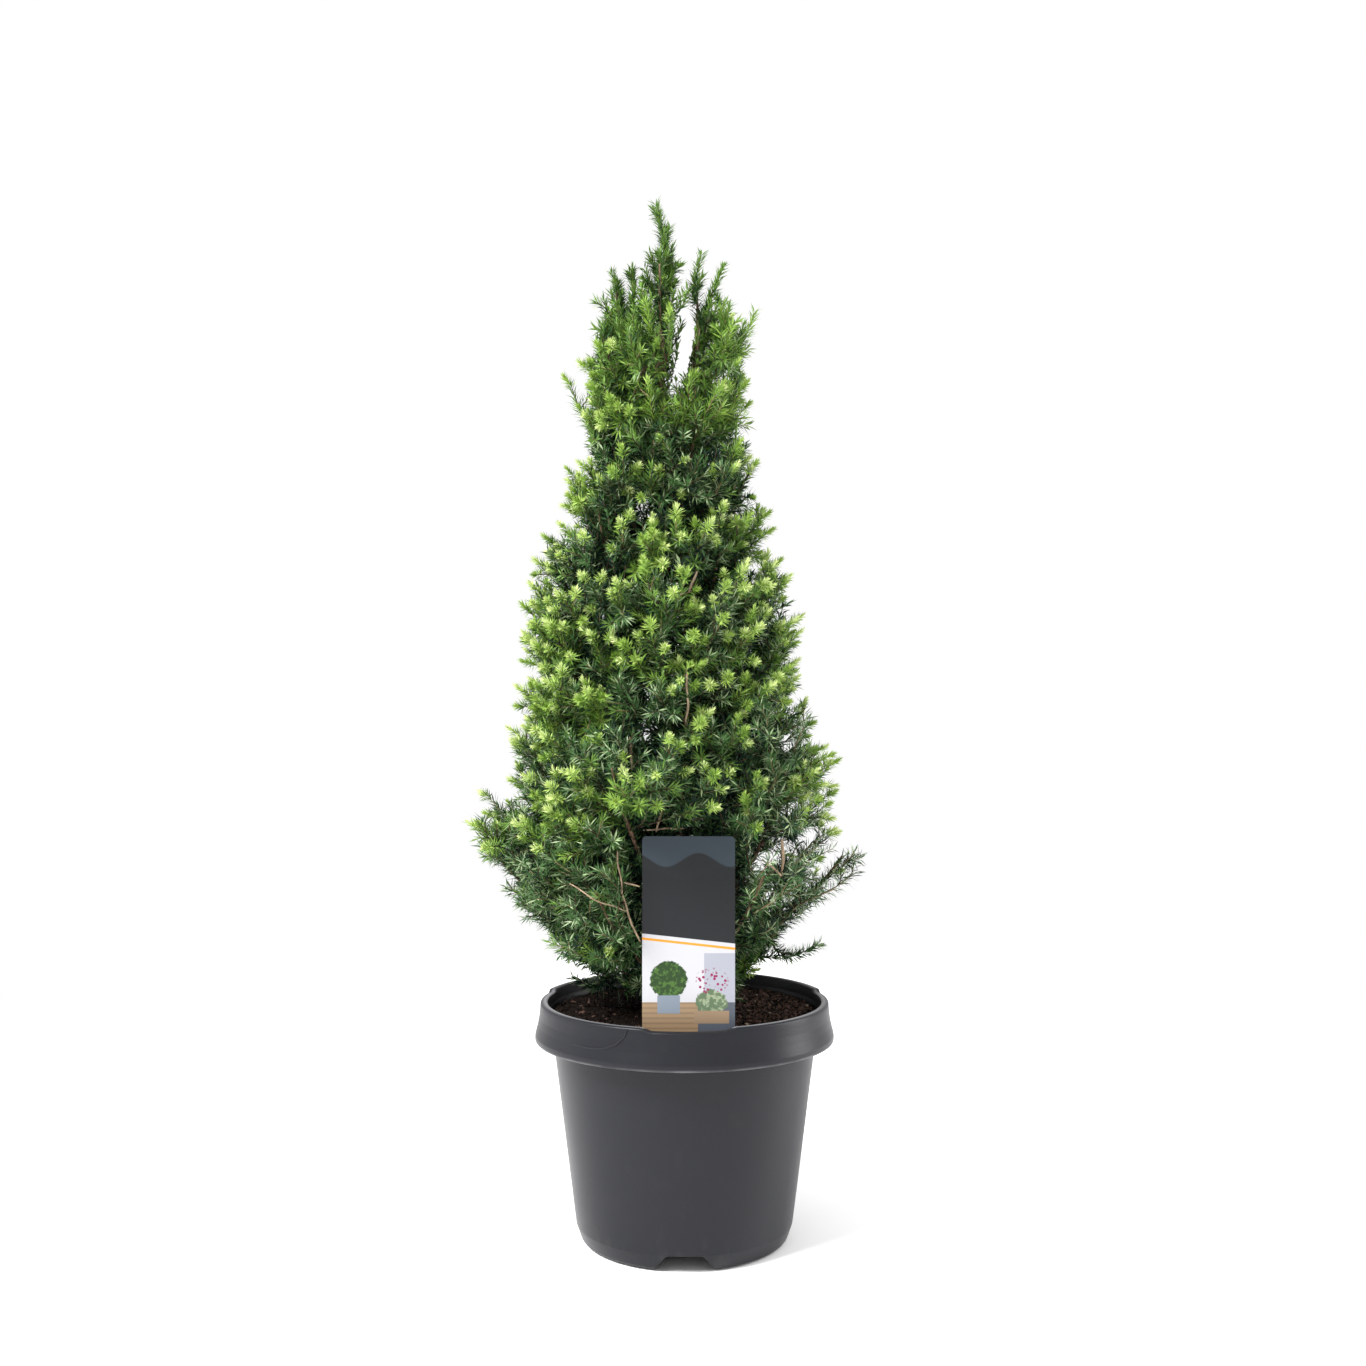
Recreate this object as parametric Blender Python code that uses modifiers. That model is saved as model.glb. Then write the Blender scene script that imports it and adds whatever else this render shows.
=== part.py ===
"""A potted dwarf white spruce: a dense cone of upswept shoots round one leaning trunk, in a rimmed
plastic pot with its root ball and a stick-in card. Metres, +Z up. Everything is built round the pot's
axis, then moved together so that the origin lies on the ground under the middle of the whole."""

import math
import random

import bmesh
import bpy
import numpy as np
from mathutils import Matrix, Vector

# Driving dimensions of the pot
POT_HEIGHT = 0.165
RIM_RADIUS = 0.105
LIP_RADIUS = 0.0962
BODY_TOP_RADIUS = 0.0922
FOOT_RADIUS = 0.0747
POT_WALL = 0.0016
SKIRT_HEIGHT = 0.026
FOOT_ROUNDING = 0.008
FLOOR_LIFT = 0.0135
DRAIN_RADIUS = 0.004
DRAIN_COUNT = 6
NOTCH_HEIGHT = 0.0120
NOTCH_TOP_WIDTH = 0.024
NOTCH_FOOT_WIDTH = 0.042
FOOT_RING_WIDTH = 0.0026
POT_STEPS = 32
POT_OFF_MIDDLE = 0.0132

# Driving dimensions of the root ball and the card
GAP = 0.0003
SOIL_EDGE = 0.1535
SOIL_TOP = 0.157
SOIL_FLAT_RADIUS = 0.022
CARD_WIDTH = 0.0605
CARD_TOP = 0.288
CARD_THICKNESS = 0.0007
CARD_PLACE = Vector((0.0026, -0.0815, 0.0))
CARD_SHOULDER = 0.1585
CARD_STAKE_WIDTH = 0.018
CARD_STAKE_FOOT = 0.112
CARD_CORNER = 0.003
CARD_ROOM = 0.011

# Driving dimensions of the plant
PLANT_TOP = 0.7285
TRUNK_FOOT = SOIL_TOP + GAP
TRUNK_TIP = 0.650
TRUNK_RADIUS = 0.0072
TRUNK_TIP_RADIUS = 0.0016
FLARE_RADIUS = 0.0052
FLARE_HEIGHT = 0.007
LEAN = 0.017
LEAN_HEIGHT = 0.30
SWAY = 0.0025

# The crown's outline: height, and reach to the left and to the right of the trunk
OUTLINE = (
    (0.176, 0.050, 0.046),
    (0.200, 0.095, 0.072),
    (0.218, 0.116, 0.090),
    (0.243, 0.125, 0.118),
    (0.268, 0.127, 0.121),
    (0.292, 0.125, 0.116),
    (0.330, 0.114, 0.118),
    (0.355, 0.112, 0.110),
    (0.405, 0.099, 0.099),
    (0.460, 0.097, 0.096),
    (0.480, 0.090, 0.079),
    (0.505, 0.074, 0.075),
    (0.530, 0.067, 0.072),
    (0.580, 0.061, 0.066),
    (0.605, 0.064, 0.064),
    (0.630, 0.053, 0.066),
    (0.655, 0.052, 0.061),
    (0.672, 0.045, 0.048),
    (0.690, 0.018, 0.028),
    (0.705, 0.009, 0.013),
    (PLANT_TOP, 0.004, 0.004),
)

# Where single boughs reach past the outline: turn in degrees, height, how far, spread in height
LOBES = (
    (180, 0.276, 0.022, 0.026),
    (0, 0.264, 0.014, 0.014),
    (258, 0.332, 0.016, 0.030),
)
LOBE_TURN = 24.0

# Shoots that stand out by themselves: turn in degrees, height of the tip, reach from the trunk
STRAYS = (
    (180, 0.289, 0.145),
    (176, 0.303, 0.132),
    (185, 0.187, 0.078),
    (1, 0.267, 0.131),
    (-9, 0.208, 0.104),
    (181, 0.489, 0.090),
    (180, 0.604, 0.068),
    (1, 0.655, 0.068),
    (-3, 0.685, 0.042),
    (4, 0.695, 0.023),
    (180, 0.683, 0.021),
    (176, 0.674, 0.035),
    (183, 0.663, 0.044),
    (182, 0.700, 0.010),
    (0, 0.702, 0.018),
    (90, 0.708, 0.010),
    (270, 0.697, 0.013),
    (0, 0.716, 0.008),
)

# Tiers of boughs, lowest first: boughs, turn of the first in degrees, height at the trunk, height of
# the tips, and how much of the crown's reach the tips come to
TIERS = (
    (6, 0, 0.181, 0.260, 0.87),
    (5, 36, 0.222, 0.332, 0.84),
    (5, 0, 0.298, 0.422, 0.80),
    (4, 45, 0.385, 0.508, 0.78),
    (3, 60, 0.468, 0.592, 0.72),
    (4, 0, 0.552, 0.674, 0.62),
)
BOUGH_SHARE = 0.36
BOUGH_RADIUS = 0.0034
BOUGH_THINNING = 0.62
STEM_STEPS = 6

# An opening that shows the sky between the leader and the shoots to its right, seen from the front
WINDOW_FOOT = Vector((-0.004, 0.608))
WINDOW_HEAD = Vector((0.004, 0.644))
WINDOW_HALF_WIDTH = 0.006

# Foliage
SPRAYS = 340
SPRAY_LENGTH = 0.041
SPRAY_WIDTH = 0.0195
SPRAY_DEPTH = 0.0040
CORE_INSET = 0.003
CORE_INSET_SHARE = 0.13
CORE_ROOM = 0.0009
CENTRE_ROOM = 0.006
LEAF_ROOM = 0.0007
LEADER_RADIUS = 0.0070
LEADER_BOW = 0.011
LIMB_ROOM = 0.0012
TWIG_RADIUS = 0.0011
STEM_RADIUS = 0.0016
SEED = 11

# Steps that spread points evenly over two ways at once
GOLDEN_ONE = 0.7548776662466927
GOLDEN_TWO = 0.5698402909980532

COLOURS = {
    "pot_plastic": ((0.068, 0.068, 0.074), 0.45),
    "potting_soil": ((0.022, 0.013, 0.009), 0.95),
    "card_print": ((0.045, 0.048, 0.052), 0.40),
    "bark": ((0.26, 0.15, 0.085), 0.85),
    "foliage": ((0.045, 0.12, 0.025), 0.60),
}


def clear_scene():
    for old in list(bpy.data.objects):
        bpy.data.objects.remove(old)


def new_collection(name):
    collection = bpy.data.collections.new(name)
    bpy.context.scene.collection.children.link(collection)
    return collection


def make_materials():
    made = {}
    for name, (colour, roughness) in COLOURS.items():
        material = bpy.data.materials.new(name)
        material.use_nodes = True
        shader = material.node_tree.nodes["Principled BSDF"]
        shader.inputs["Base Color"].default_value = (*colour, 1.0)
        shader.inputs["Roughness"].default_value = roughness
        shader.inputs["Metallic"].default_value = 0.0
        made[name] = material
    return made


def place(name, data, collection, material=None):
    made = bpy.data.objects.new(name, data)
    collection.objects.link(made)
    if material:
        data.materials.append(material)
    return made


def mesh_object(name, shape, collection, material=None):
    """An object with its own mesh from a bmesh, which is then freed."""
    mesh = bpy.data.meshes.new(name)
    shape.to_mesh(mesh)
    shape.free()
    return place(name, mesh, collection, material)


def evaluated_mesh(item):
    """The object's mesh with its modifiers applied, with doubled points made one."""
    bpy.context.view_layer.update()
    graph = bpy.context.evaluated_depsgraph_get()
    mesh = bpy.data.meshes.new_from_object(item.evaluated_get(graph))
    shape = bmesh.new()
    shape.from_mesh(mesh)
    bmesh.ops.remove_doubles(shape, verts=shape.verts, dist=1e-6)
    shape.to_mesh(mesh)
    shape.free()
    return mesh


def helper(item):
    item.hide_render = True
    item.display_type = "WIRE"
    return item


def boolean(item, operation, other):
    modifier = item.modifiers.new(operation.lower(), "BOOLEAN")
    modifier.operation = operation
    modifier.object = other
    return modifier


def boolean_all(item, operation, collection):
    """Joins or cuts with every object of a collection at once."""
    modifier = item.modifiers.new(operation.lower(), "BOOLEAN")
    modifier.operation = operation
    modifier.operand_type = "COLLECTION"
    modifier.collection = collection
    modifier.solver = "MANIFOLD"


def arc(centre, radius, start, end, steps):
    """Points of an arc in a turned profile, from one angle to another in degrees."""
    angles = [math.radians(start + (end - start) * i / steps) for i in range(steps + 1)]
    return [
        (centre[0] + radius * math.cos(a), centre[1] + radius * math.sin(a)) for a in angles
    ]


def turned(name, profile, closed, collection, material):
    """A profile of (radius, height) points, spun round the upright axis."""
    shape = bmesh.new()
    points = [shape.verts.new((radius, 0.0, height)) for radius, height in profile]
    for first, second in zip(points, points[1:]):
        shape.edges.new((first, second))
    if closed:
        shape.edges.new((points[-1], points[0]))
    item = mesh_object(name, shape, collection, material)
    screw = item.modifiers.new("turn", "SCREW")
    screw.steps = screw.render_steps = POT_STEPS
    screw.use_merge_vertices = True
    screw.merge_threshold = 1e-5
    return item


def body_radius(height):
    """Outer radius of the pot's tapered wall at a height."""
    skirt_foot = POT_HEIGHT - SKIRT_HEIGHT
    return FOOT_RADIUS + (BODY_TOP_RADIUS - FOOT_RADIUS) * height / skirt_foot


def pot_profile():
    """The wall, the folded-over rim and the raised floor, from the floor's drain hole round and back."""
    skirt_foot = POT_HEIGHT - SKIRT_HEIGHT
    floor_top = FLOOR_LIFT + POT_WALL
    inner = [
        (DRAIN_RADIUS, floor_top),
        (body_radius(floor_top) - POT_WALL, floor_top),
        (body_radius(skirt_foot) - POT_WALL, skirt_foot),
    ]
    lip = [
        (LIP_RADIUS, POT_HEIGHT - 0.0018),
        (LIP_RADIUS + 0.0016, POT_HEIGHT),
        (LIP_RADIUS + 0.0035, POT_HEIGHT),
        (LIP_RADIUS + 0.0050, POT_HEIGHT - 0.0022),
    ]
    skirt = [
        (RIM_RADIUS - 0.0033, POT_HEIGHT - 0.008),
        (RIM_RADIUS - 0.0016, POT_HEIGHT - 0.0145),
        (RIM_RADIUS, skirt_foot + 0.0040),
        (RIM_RADIUS - 0.0004, skirt_foot + 0.0014),
        (RIM_RADIUS - 0.0016, skirt_foot),
        (RIM_RADIUS - 0.0026, skirt_foot + 0.0030),
        (RIM_RADIUS - 0.0046, POT_HEIGHT - 0.0100),
        (LIP_RADIUS + 0.0022, POT_HEIGHT - 0.0034),
    ]
    rounding = arc(
        (body_radius(FOOT_ROUNDING) - FOOT_ROUNDING, FOOT_ROUNDING), FOOT_ROUNDING, 0, -75, 3
    )
    outer = [(body_radius(skirt_foot), skirt_foot)] + rounding
    foot_outer = rounding[-1][0] - 0.0006
    foot = [
        (foot_outer, 0.0),
        (foot_outer - FOOT_RING_WIDTH, 0.0),
        (foot_outer + 0.0018, FOOT_ROUNDING * 0.4),
        (body_radius(FLOOR_LIFT) - POT_WALL * 1.3, FLOOR_LIFT),
        (DRAIN_RADIUS, FLOOR_LIFT),
    ]
    return inner + lip + skirt + outer + foot


def make_pot(parts, cutters, materials):
    pot = turned("pot", pot_profile(), True, parts, materials["pot_plastic"])
    for side in (-1, 1):
        notch = bmesh.new()
        bmesh.ops.create_cube(notch, size=1.0)
        for point in notch.verts:
            width = NOTCH_FOOT_WIDTH if point.co.z < 0 else NOTCH_TOP_WIDTH
            point.co.x *= width
            point.co.z = -0.002 if point.co.z < 0 else NOTCH_HEIGHT
            point.co.y = side * FOOT_RADIUS + point.co.y * 0.022
        cutter = mesh_object(f"notch_cutter_{side}", notch, cutters)
        boolean(pot, "DIFFERENCE", helper(cutter))
    for index in range(DRAIN_COUNT):
        hole = bmesh.new()
        bmesh.ops.create_cone(
            hole,
            cap_ends=True,
            segments=6,
            radius1=DRAIN_RADIUS,
            radius2=DRAIN_RADIUS,
            depth=0.02,
        )
        turn = Matrix.Rotation(math.tau * (index + 0.5) / DRAIN_COUNT, 4, "Z")
        bmesh.ops.transform(
            hole, matrix=turn @ Matrix.Translation((0.045, 0, FLOOR_LIFT)), verts=hole.verts
        )
        cutter = mesh_object(f"drain_cutter_{index}", hole, cutters)
        boolean(pot, "DIFFERENCE", helper(cutter))


def card_outline(margin):
    """Half of the card's outline from its top edge down to its stake's point, grown by a margin."""
    half = CARD_WIDTH / 2 + margin
    stake = CARD_STAKE_WIDTH / 2 + margin
    return [
        (half - CARD_CORNER, CARD_TOP),
        (half, CARD_TOP - CARD_CORNER),
        (half, CARD_SHOULDER - margin),
        (stake, CARD_SHOULDER - margin),
        (stake, CARD_STAKE_FOOT + 0.012),
        (margin + 0.001, CARD_STAKE_FOOT - margin),
    ]


def card_curve(name, margin, collection):
    half = card_outline(margin)
    points = half + [(-x, z) for x, z in reversed(half)]
    curve = bpy.data.curves.new(name, "CURVE")
    curve.dimensions = "2D"
    curve.fill_mode = "BOTH"
    curve.extrude = CARD_THICKNESS / 2 + margin
    line = curve.splines.new("POLY")
    line.points.add(len(points) - 1)
    line.use_cyclic_u = True
    for point, (x, z) in zip(line.points, points):
        point.co = (x, z, 0.0, 1.0)
    item = place(name, curve, collection)
    item.location = CARD_PLACE
    item.rotation_euler.x = math.pi / 2
    return item


def make_soil(parts, clearances, materials):
    floor = FLOOR_LIFT + POT_WALL + GAP
    inset = POT_WALL + GAP * 1.2
    skirt_foot = POT_HEIGHT - SKIRT_HEIGHT
    profile = [
        (0.0, SOIL_TOP),
        (SOIL_FLAT_RADIUS, SOIL_TOP),
        (0.060, SOIL_TOP - 0.0012),
        (body_radius(skirt_foot) - inset + 0.0028, SOIL_EDGE),
        (body_radius(skirt_foot) - inset, skirt_foot),
        (body_radius(floor) - inset, floor),
        (0.0, floor),
    ]
    soil = turned("root_ball", profile, False, parts, materials["potting_soil"])
    slot_curve = card_curve("slot_guide", GAP, clearances)
    slot_mesh = evaluated_mesh(slot_curve)
    slot = place("card_slot_cutter", slot_mesh, clearances)
    slot.matrix_world = slot_curve.matrix_world.copy()
    bpy.data.objects.remove(slot_curve)
    boolean(soil, "DIFFERENCE", helper(slot))


def make_card(parts, materials):
    card = card_curve("plant_card", 0.0, parts)
    card.data.materials.append(materials["card_print"])


def trunk_line(height):
    """The trunk's own line: it leans to the left and then stands, with a slight sway."""
    rise = min(max((height - TRUNK_FOOT) / LEAN_HEIGHT, 0.0), 1.0)
    lean = rise * rise * (3 - 2 * rise)
    sway = math.sin((height - TRUNK_FOOT) * 17.0)
    return Vector((-LEAN * lean, SWAY * sway, height))


def trunk_radius(height):
    share = (height - TRUNK_FOOT) / (TRUNK_TIP - TRUNK_FOOT)
    taper = TRUNK_RADIUS + (TRUNK_TIP_RADIUS - TRUNK_RADIUS) * share
    return taper + FLARE_RADIUS * math.exp(-(height - TRUNK_FOOT) / FLARE_HEIGHT)


def reach(height, turn):
    """How far the crown reaches from the trunk's line at a height, to a side given in radians."""
    heights, left, right = zip(*OUTLINE)
    to_left = float(np.interp(height, heights, left))
    to_right = float(np.interp(height, heights, right))
    waves = 0.03 * math.sin(3 * turn + 40 * height) + 0.03 * math.sin(5 * turn - 23 * height)
    far = (to_left + to_right) / 2 * (1 + waves * abs(math.sin(turn)))
    far += (to_right - to_left) / 2 * math.cos(turn)
    for lobe_turn, lobe_height, lobe_reach, spread in LOBES:
        away = math.degrees(turn) - lobe_turn
        away = abs((away + 180) % 360 - 180) / LOBE_TURN
        far += lobe_reach * math.exp(-(away**2) - ((height - lobe_height) / spread) ** 2)
    return far


def crown_point(height, turn, distance):
    return trunk_line(height) + Vector((math.cos(turn), math.sin(turn), 0.0)) * distance


def along(start, bend, end, share):
    """A point of the curve that leaves start towards bend and arrives at end."""
    return start.lerp(bend, share).lerp(bend.lerp(end, share), share)


class Limb:
    """A bough and the stem that goes on from it through its mass of foliage."""

    def __init__(self, name, turn, root_height, tip_height, share):
        self.name = name
        self.start = trunk_line(root_height)
        self.end = crown_point(tip_height, turn, reach(tip_height, turn) * share)
        middle = self.start.lerp(self.end, 0.5)
        outward = Vector((math.cos(turn), math.sin(turn), -0.55))
        self.bend = middle + outward * (self.end - self.start).length * 0.16
        self.radius = BOUGH_RADIUS * (1 - 0.55 * (root_height - TRUNK_FOOT) / 0.5)

    def point(self, share):
        return along(self.start, self.bend, self.end, share)

    def samples(self, first, last, count):
        return [self.point(first + (last - first) * i / (count - 1)) for i in range(count)]

    def stem_start(self):
        tip = self.point(BOUGH_SHARE)
        ahead = (self.point(BOUGH_SHARE + 0.02) - tip).normalized()
        return tip + ahead * GAP


class Leader(Limb):
    """The stem above the trunk's tip, which carries the topmost mass."""

    def __init__(self):
        self.name = "leader"
        self.start = trunk_line(TRUNK_TIP)
        self.end = trunk_line(PLANT_TOP - 0.010) + Vector((-0.001, 0.0, 0.0))
        self.bend = self.start.lerp(self.end, 0.5) + Vector((LEADER_BOW, 0.0, 0.0))
        self.radius = TRUNK_TIP_RADIUS

    def stem_start(self):
        return self.start + Vector((0.0, 0.0, GAP))


def plan_limbs():
    limbs = []
    for tier, (count, first, root_height, tip_height, share) in enumerate(TIERS, start=1):
        for index in range(count):
            turn = math.radians(first) + math.tau * index / count
            lift = 0.008 * math.sin(2.4 * index + tier)
            name = f"{tier}_{index + 1}"
            limbs.append(Limb(name, turn, root_height + lift, tip_height + lift, share))
    limbs.append(Leader())
    return limbs


class Space:
    """Tells which mass a point belongs to, and whether it is clear of what is woody or is the card's."""

    def __init__(self, limbs):
        stems = [limb.samples(BOUGH_SHARE if limb.name != "leader" else 0.0, 1.0, 12) for limb in limbs]
        self.count = len(limbs)
        self.stems = np.array([list(point) for stem in stems for point in stem])
        self.wood, self.thickness = self.limb_points(limbs)

    @staticmethod
    def limb_points(limbs):
        points, radii = [], []
        for limb in limbs:
            if limb.name != "leader":
                points += limb.samples(0.0, BOUGH_SHARE, 24)
                radii += [limb.radius] * 24
        steps = 260
        for i in range(steps + 1):
            height = TRUNK_FOOT + (TRUNK_TIP - TRUNK_FOOT) * i / steps
            points.append(trunk_line(height))
            radii.append(trunk_radius(height))
        return np.array([list(point) for point in points]), np.array(radii)

    def distances(self, points):
        """Distance from each point to each mass's own stem."""
        spans = np.linalg.norm(points[:, None, :] - self.stems[None, :, :], axis=2)
        return spans.reshape(len(points), self.count, -1).min(axis=2)

    def owner(self, point):
        return int(self.distances(np.array([list(point)]))[0].argmin())

    def holds(self, index, points, room):
        """Whether every point lies in this mass's own space, with room to spare on all sides."""
        points = np.array([list(point) for point in points])
        spans = self.distances(points)
        own = spans[:, index].copy()
        spans[:, index] = np.inf
        if (spans.min(axis=1) - own < 2 * room).any():
            return False
        wood = np.linalg.norm(points[:, None, :] - self.wood[None, :, :], axis=2)
        if (wood < self.thickness + LIMB_ROOM).any():
            return False
        if (points[:, 2] < SOIL_TOP + 0.006).any():
            return False
        return not (near_pot_or_card(points) or in_window(points))


def in_window(points):
    """Whether any point is in front of or behind the sky that shows through the crown."""
    span = WINDOW_HEAD - WINDOW_FOOT
    for x, _, z in points:
        offset = Vector((x, z)) - WINDOW_FOOT
        share = min(max(offset.dot(span) / span.length_squared, 0.0), 1.0)
        if (offset - span * share).length < WINDOW_HALF_WIDTH:
            return True
    return False


def near_pot_or_card(points):
    low = (points[:, 2] < POT_HEIGHT + 0.004) & (np.hypot(points[:, 0], points[:, 1]) > 0.080)
    sideways = np.abs(points[:, 0] - CARD_PLACE.x) < CARD_WIDTH / 2 + CARD_ROOM
    forward = points[:, 1] < CARD_PLACE.y + CARD_ROOM / 2
    below = points[:, 2] < CARD_TOP + CARD_ROOM
    return bool((low | (sideways & forward & below)).any())


def spray_targets(count):
    """Where shoots end on the crown's surface: an even spread that stays even however early it is cut."""
    heights = np.linspace(OUTLINE[0][0], PLANT_TOP, 300)
    girth = np.array([reach(h, 0.0) + reach(h, math.pi) + 0.012 for h in heights])
    share = np.cumsum(girth) / girth.sum()
    for index in range(count):
        height = float(np.interp((0.5 + index * GOLDEN_ONE) % 1, share, heights))
        turn = math.tau * ((0.5 + index * GOLDEN_TWO) % 1)
        yield height, turn, reach(height, turn)


def shoot_direction(height, turn, dice):
    """Shoots rise more steeply the higher they are, with a little scatter."""
    share = (height - OUTLINE[0][0]) / (PLANT_TOP - OUTLINE[0][0])
    rise = math.radians(18 + 60 * share**0.8 + dice.uniform(-12, 12))
    side = turn + math.radians(dice.uniform(-24, 24))
    return Vector(
        (math.cos(side) * math.cos(rise), math.sin(side) * math.cos(rise), math.sin(rise))
    )


def plan_sprays(limbs, space):
    """The tip and direction of each spray, listed by the mass it belongs to."""
    dice = random.Random(SEED)
    plans = [[] for _ in limbs]
    strays = [(height, math.radians(turn), far) for turn, height, far in STRAYS]
    for height, turn, far in strays + list(spray_targets(SPRAYS)):
        tip = crown_point(height, turn, far * dice.uniform(0.95, 1.04))
        direction = shoot_direction(height, turn, dice)
        plans[space.owner(tip)].append((tip, direction, dice.uniform(0.85, 1.1)))
    leader = limbs[-1]
    top = Vector((leader.end.x - 0.002, leader.end.y, PLANT_TOP))
    plans[-1].append((top, Vector((-0.25, 0.0, 1.0)).normalized(), 0.8))
    return plans


def facing(direction, origin):
    """A placing whose Z runs along a direction."""
    turn = direction.to_track_quat("Z", "Y").to_matrix().to_4x4()
    return Matrix.Translation(origin) @ turn


def spray_shape(tip, direction, size):
    """A toothed blade: a shallow double cone whose rim is drawn out into needle points."""
    length = SPRAY_LENGTH * size
    width = SPRAY_WIDTH * size
    rim = (
        (0.0, -0.04),
        (0.50, 0.40),
        (0.22, 0.42),
        (0.44, 0.76),
        (0.0, 1.0),
        (-0.44, 0.76),
        (-0.22, 0.42),
        (-0.50, 0.40),
    )
    shape = bmesh.new()
    bmesh.ops.create_cone(
        shape, cap_ends=True, cap_tris=True, segments=len(rim), radius1=1.0, radius2=0.0, depth=1.0
    )
    edge = sorted(
        (v for v in shape.verts if v.co.xy.length > 0.5), key=lambda v: math.atan2(v.co.y, v.co.x)
    )
    for point, (across, forth) in zip(edge, rim):
        point.co = (across * width, 0.0, forth * length)
    ridge = sorted((v for v in shape.verts if v not in edge), key=lambda v: v.co.z)
    for point, side in zip(ridge, (-1, 1)):
        point.co = (0.0, side * SPRAY_DEPTH * size, length * 0.45)
    bmesh.ops.recalc_face_normals(shape, faces=shape.faces)
    bmesh.ops.transform(
        shape, matrix=facing(direction, tip - direction * length), verts=shape.verts
    )
    return shape


def twig_shape(start, end, radius):
    """A straight three-sided twig."""
    span = end - start
    shape = bmesh.new()
    bmesh.ops.create_cone(
        shape,
        cap_ends=True,
        segments=3,
        radius1=radius,
        radius2=radius * 0.7,
        depth=span.length,
    )
    bmesh.ops.transform(
        shape, matrix=facing(span.normalized(), start.lerp(end, 0.5)), verts=shape.verts
    )
    return shape


def tapered_limb(name, points, radii, sides, collection):
    """A limb as a bevelled line whose radius is set point by point, made into a mesh."""
    curve = bpy.data.curves.new(name, "CURVE")
    curve.dimensions = "3D"
    curve.bevel_depth = 1.0
    curve.bevel_resolution = (sides - 4) // 2
    curve.use_fill_caps = True
    line = curve.splines.new("POLY")
    line.points.add(len(points) - 1)
    for knot, point, radius in zip(line.points, points, radii):
        knot.co = (*point, 1.0)
        knot.radius = radius
    guide = place(name + "_line", curve, collection)
    item = place(name, evaluated_mesh(guide), collection)
    bpy.data.objects.remove(guide)
    return item


def depth_in_crown(point):
    """How far a point lies inside the surface that the cores come up to."""
    out = point - trunk_line(point.z)
    far = reach(point.z, math.atan2(out.y, out.x))
    return min(far * (1 - CORE_INSET_SHARE) - CORE_INSET - out.xy.length, PLANT_TOP - 0.03 - point.z)


def roomiest(limb, index, space):
    """The place along a mass's stem, or just above it, with the most room around it."""
    tried = []
    for step in range(6):
        for lift in (0.0, 0.012):
            tried.append(limb.point(BOUGH_SHARE + 0.1 + 0.08 * step) + Vector((0.0, 0.0, lift)))
    tried = [point for point in tried if space.holds(index, [point], CENTRE_ROOM)] or tried
    spans = space.distances(np.array([list(point) for point in tried]))
    own = spans[:, index].copy()
    spans[:, index] = np.inf
    rooms = (spans.min(axis=1) - own) / 2
    best = max(range(len(tried)), key=lambda i: min(rooms[i], depth_in_crown(tried[i])))
    return tried[best]


def core_shape(limb, index, space):
    """The dense inside of a mass: a ball whose points are drawn out as far as its own space allows."""
    centre = roomiest(limb, index, space)
    tip = limb.stem_start()
    ahead = (limb.point(0.6) - tip).normalized()
    shape = bmesh.new()
    bmesh.ops.create_icosphere(shape, subdivisions=2, radius=1.0)
    step = 0.0015
    for number, point in enumerate(shape.verts):
        ray = point.co.normalized()
        far = 0.0
        while far < 0.09:
            tried = centre + ray * (far + step)
            behind = (tried - tip).dot(ahead) < CORE_ROOM - 0.5 * (tried - tip).length
            inside = depth_in_crown(tried) > 0 and not behind
            if not (inside and space.holds(index, [tried], CORE_ROOM)):
                break
            far += step
        point.co = centre + ray * max(far * (1 - 0.08 * (number % 2)), step)
    return shape


def nearest_node(nodes, root, direction):
    """The node of the mass's twigs that a new twig would branch from: near, and behind it."""

    def cost(node):
        span = root - node
        return span.length + 0.8 * max(0.0, 0.004 - span.dot(direction))

    return min(nodes, key=cost)


def drop_scraps(item):
    """Keeps the largest connected piece of a mesh."""
    shape = bmesh.new()
    shape.from_mesh(item.data)
    waiting = set(shape.verts)
    largest = set()
    while waiting:
        found = {waiting.pop()}
        border = list(found)
        while border:
            for edge in border.pop().link_edges:
                for point in edge.verts:
                    if point not in found:
                        found.add(point)
                        border.append(point)
        waiting -= found
        if len(found) > len(largest):
            largest = found
    loose = [point for point in shape.verts if point not in largest]
    bmesh.ops.delete(shape, geom=loose, context="VERTS")
    shape.to_mesh(item.data)
    shape.free()


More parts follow.
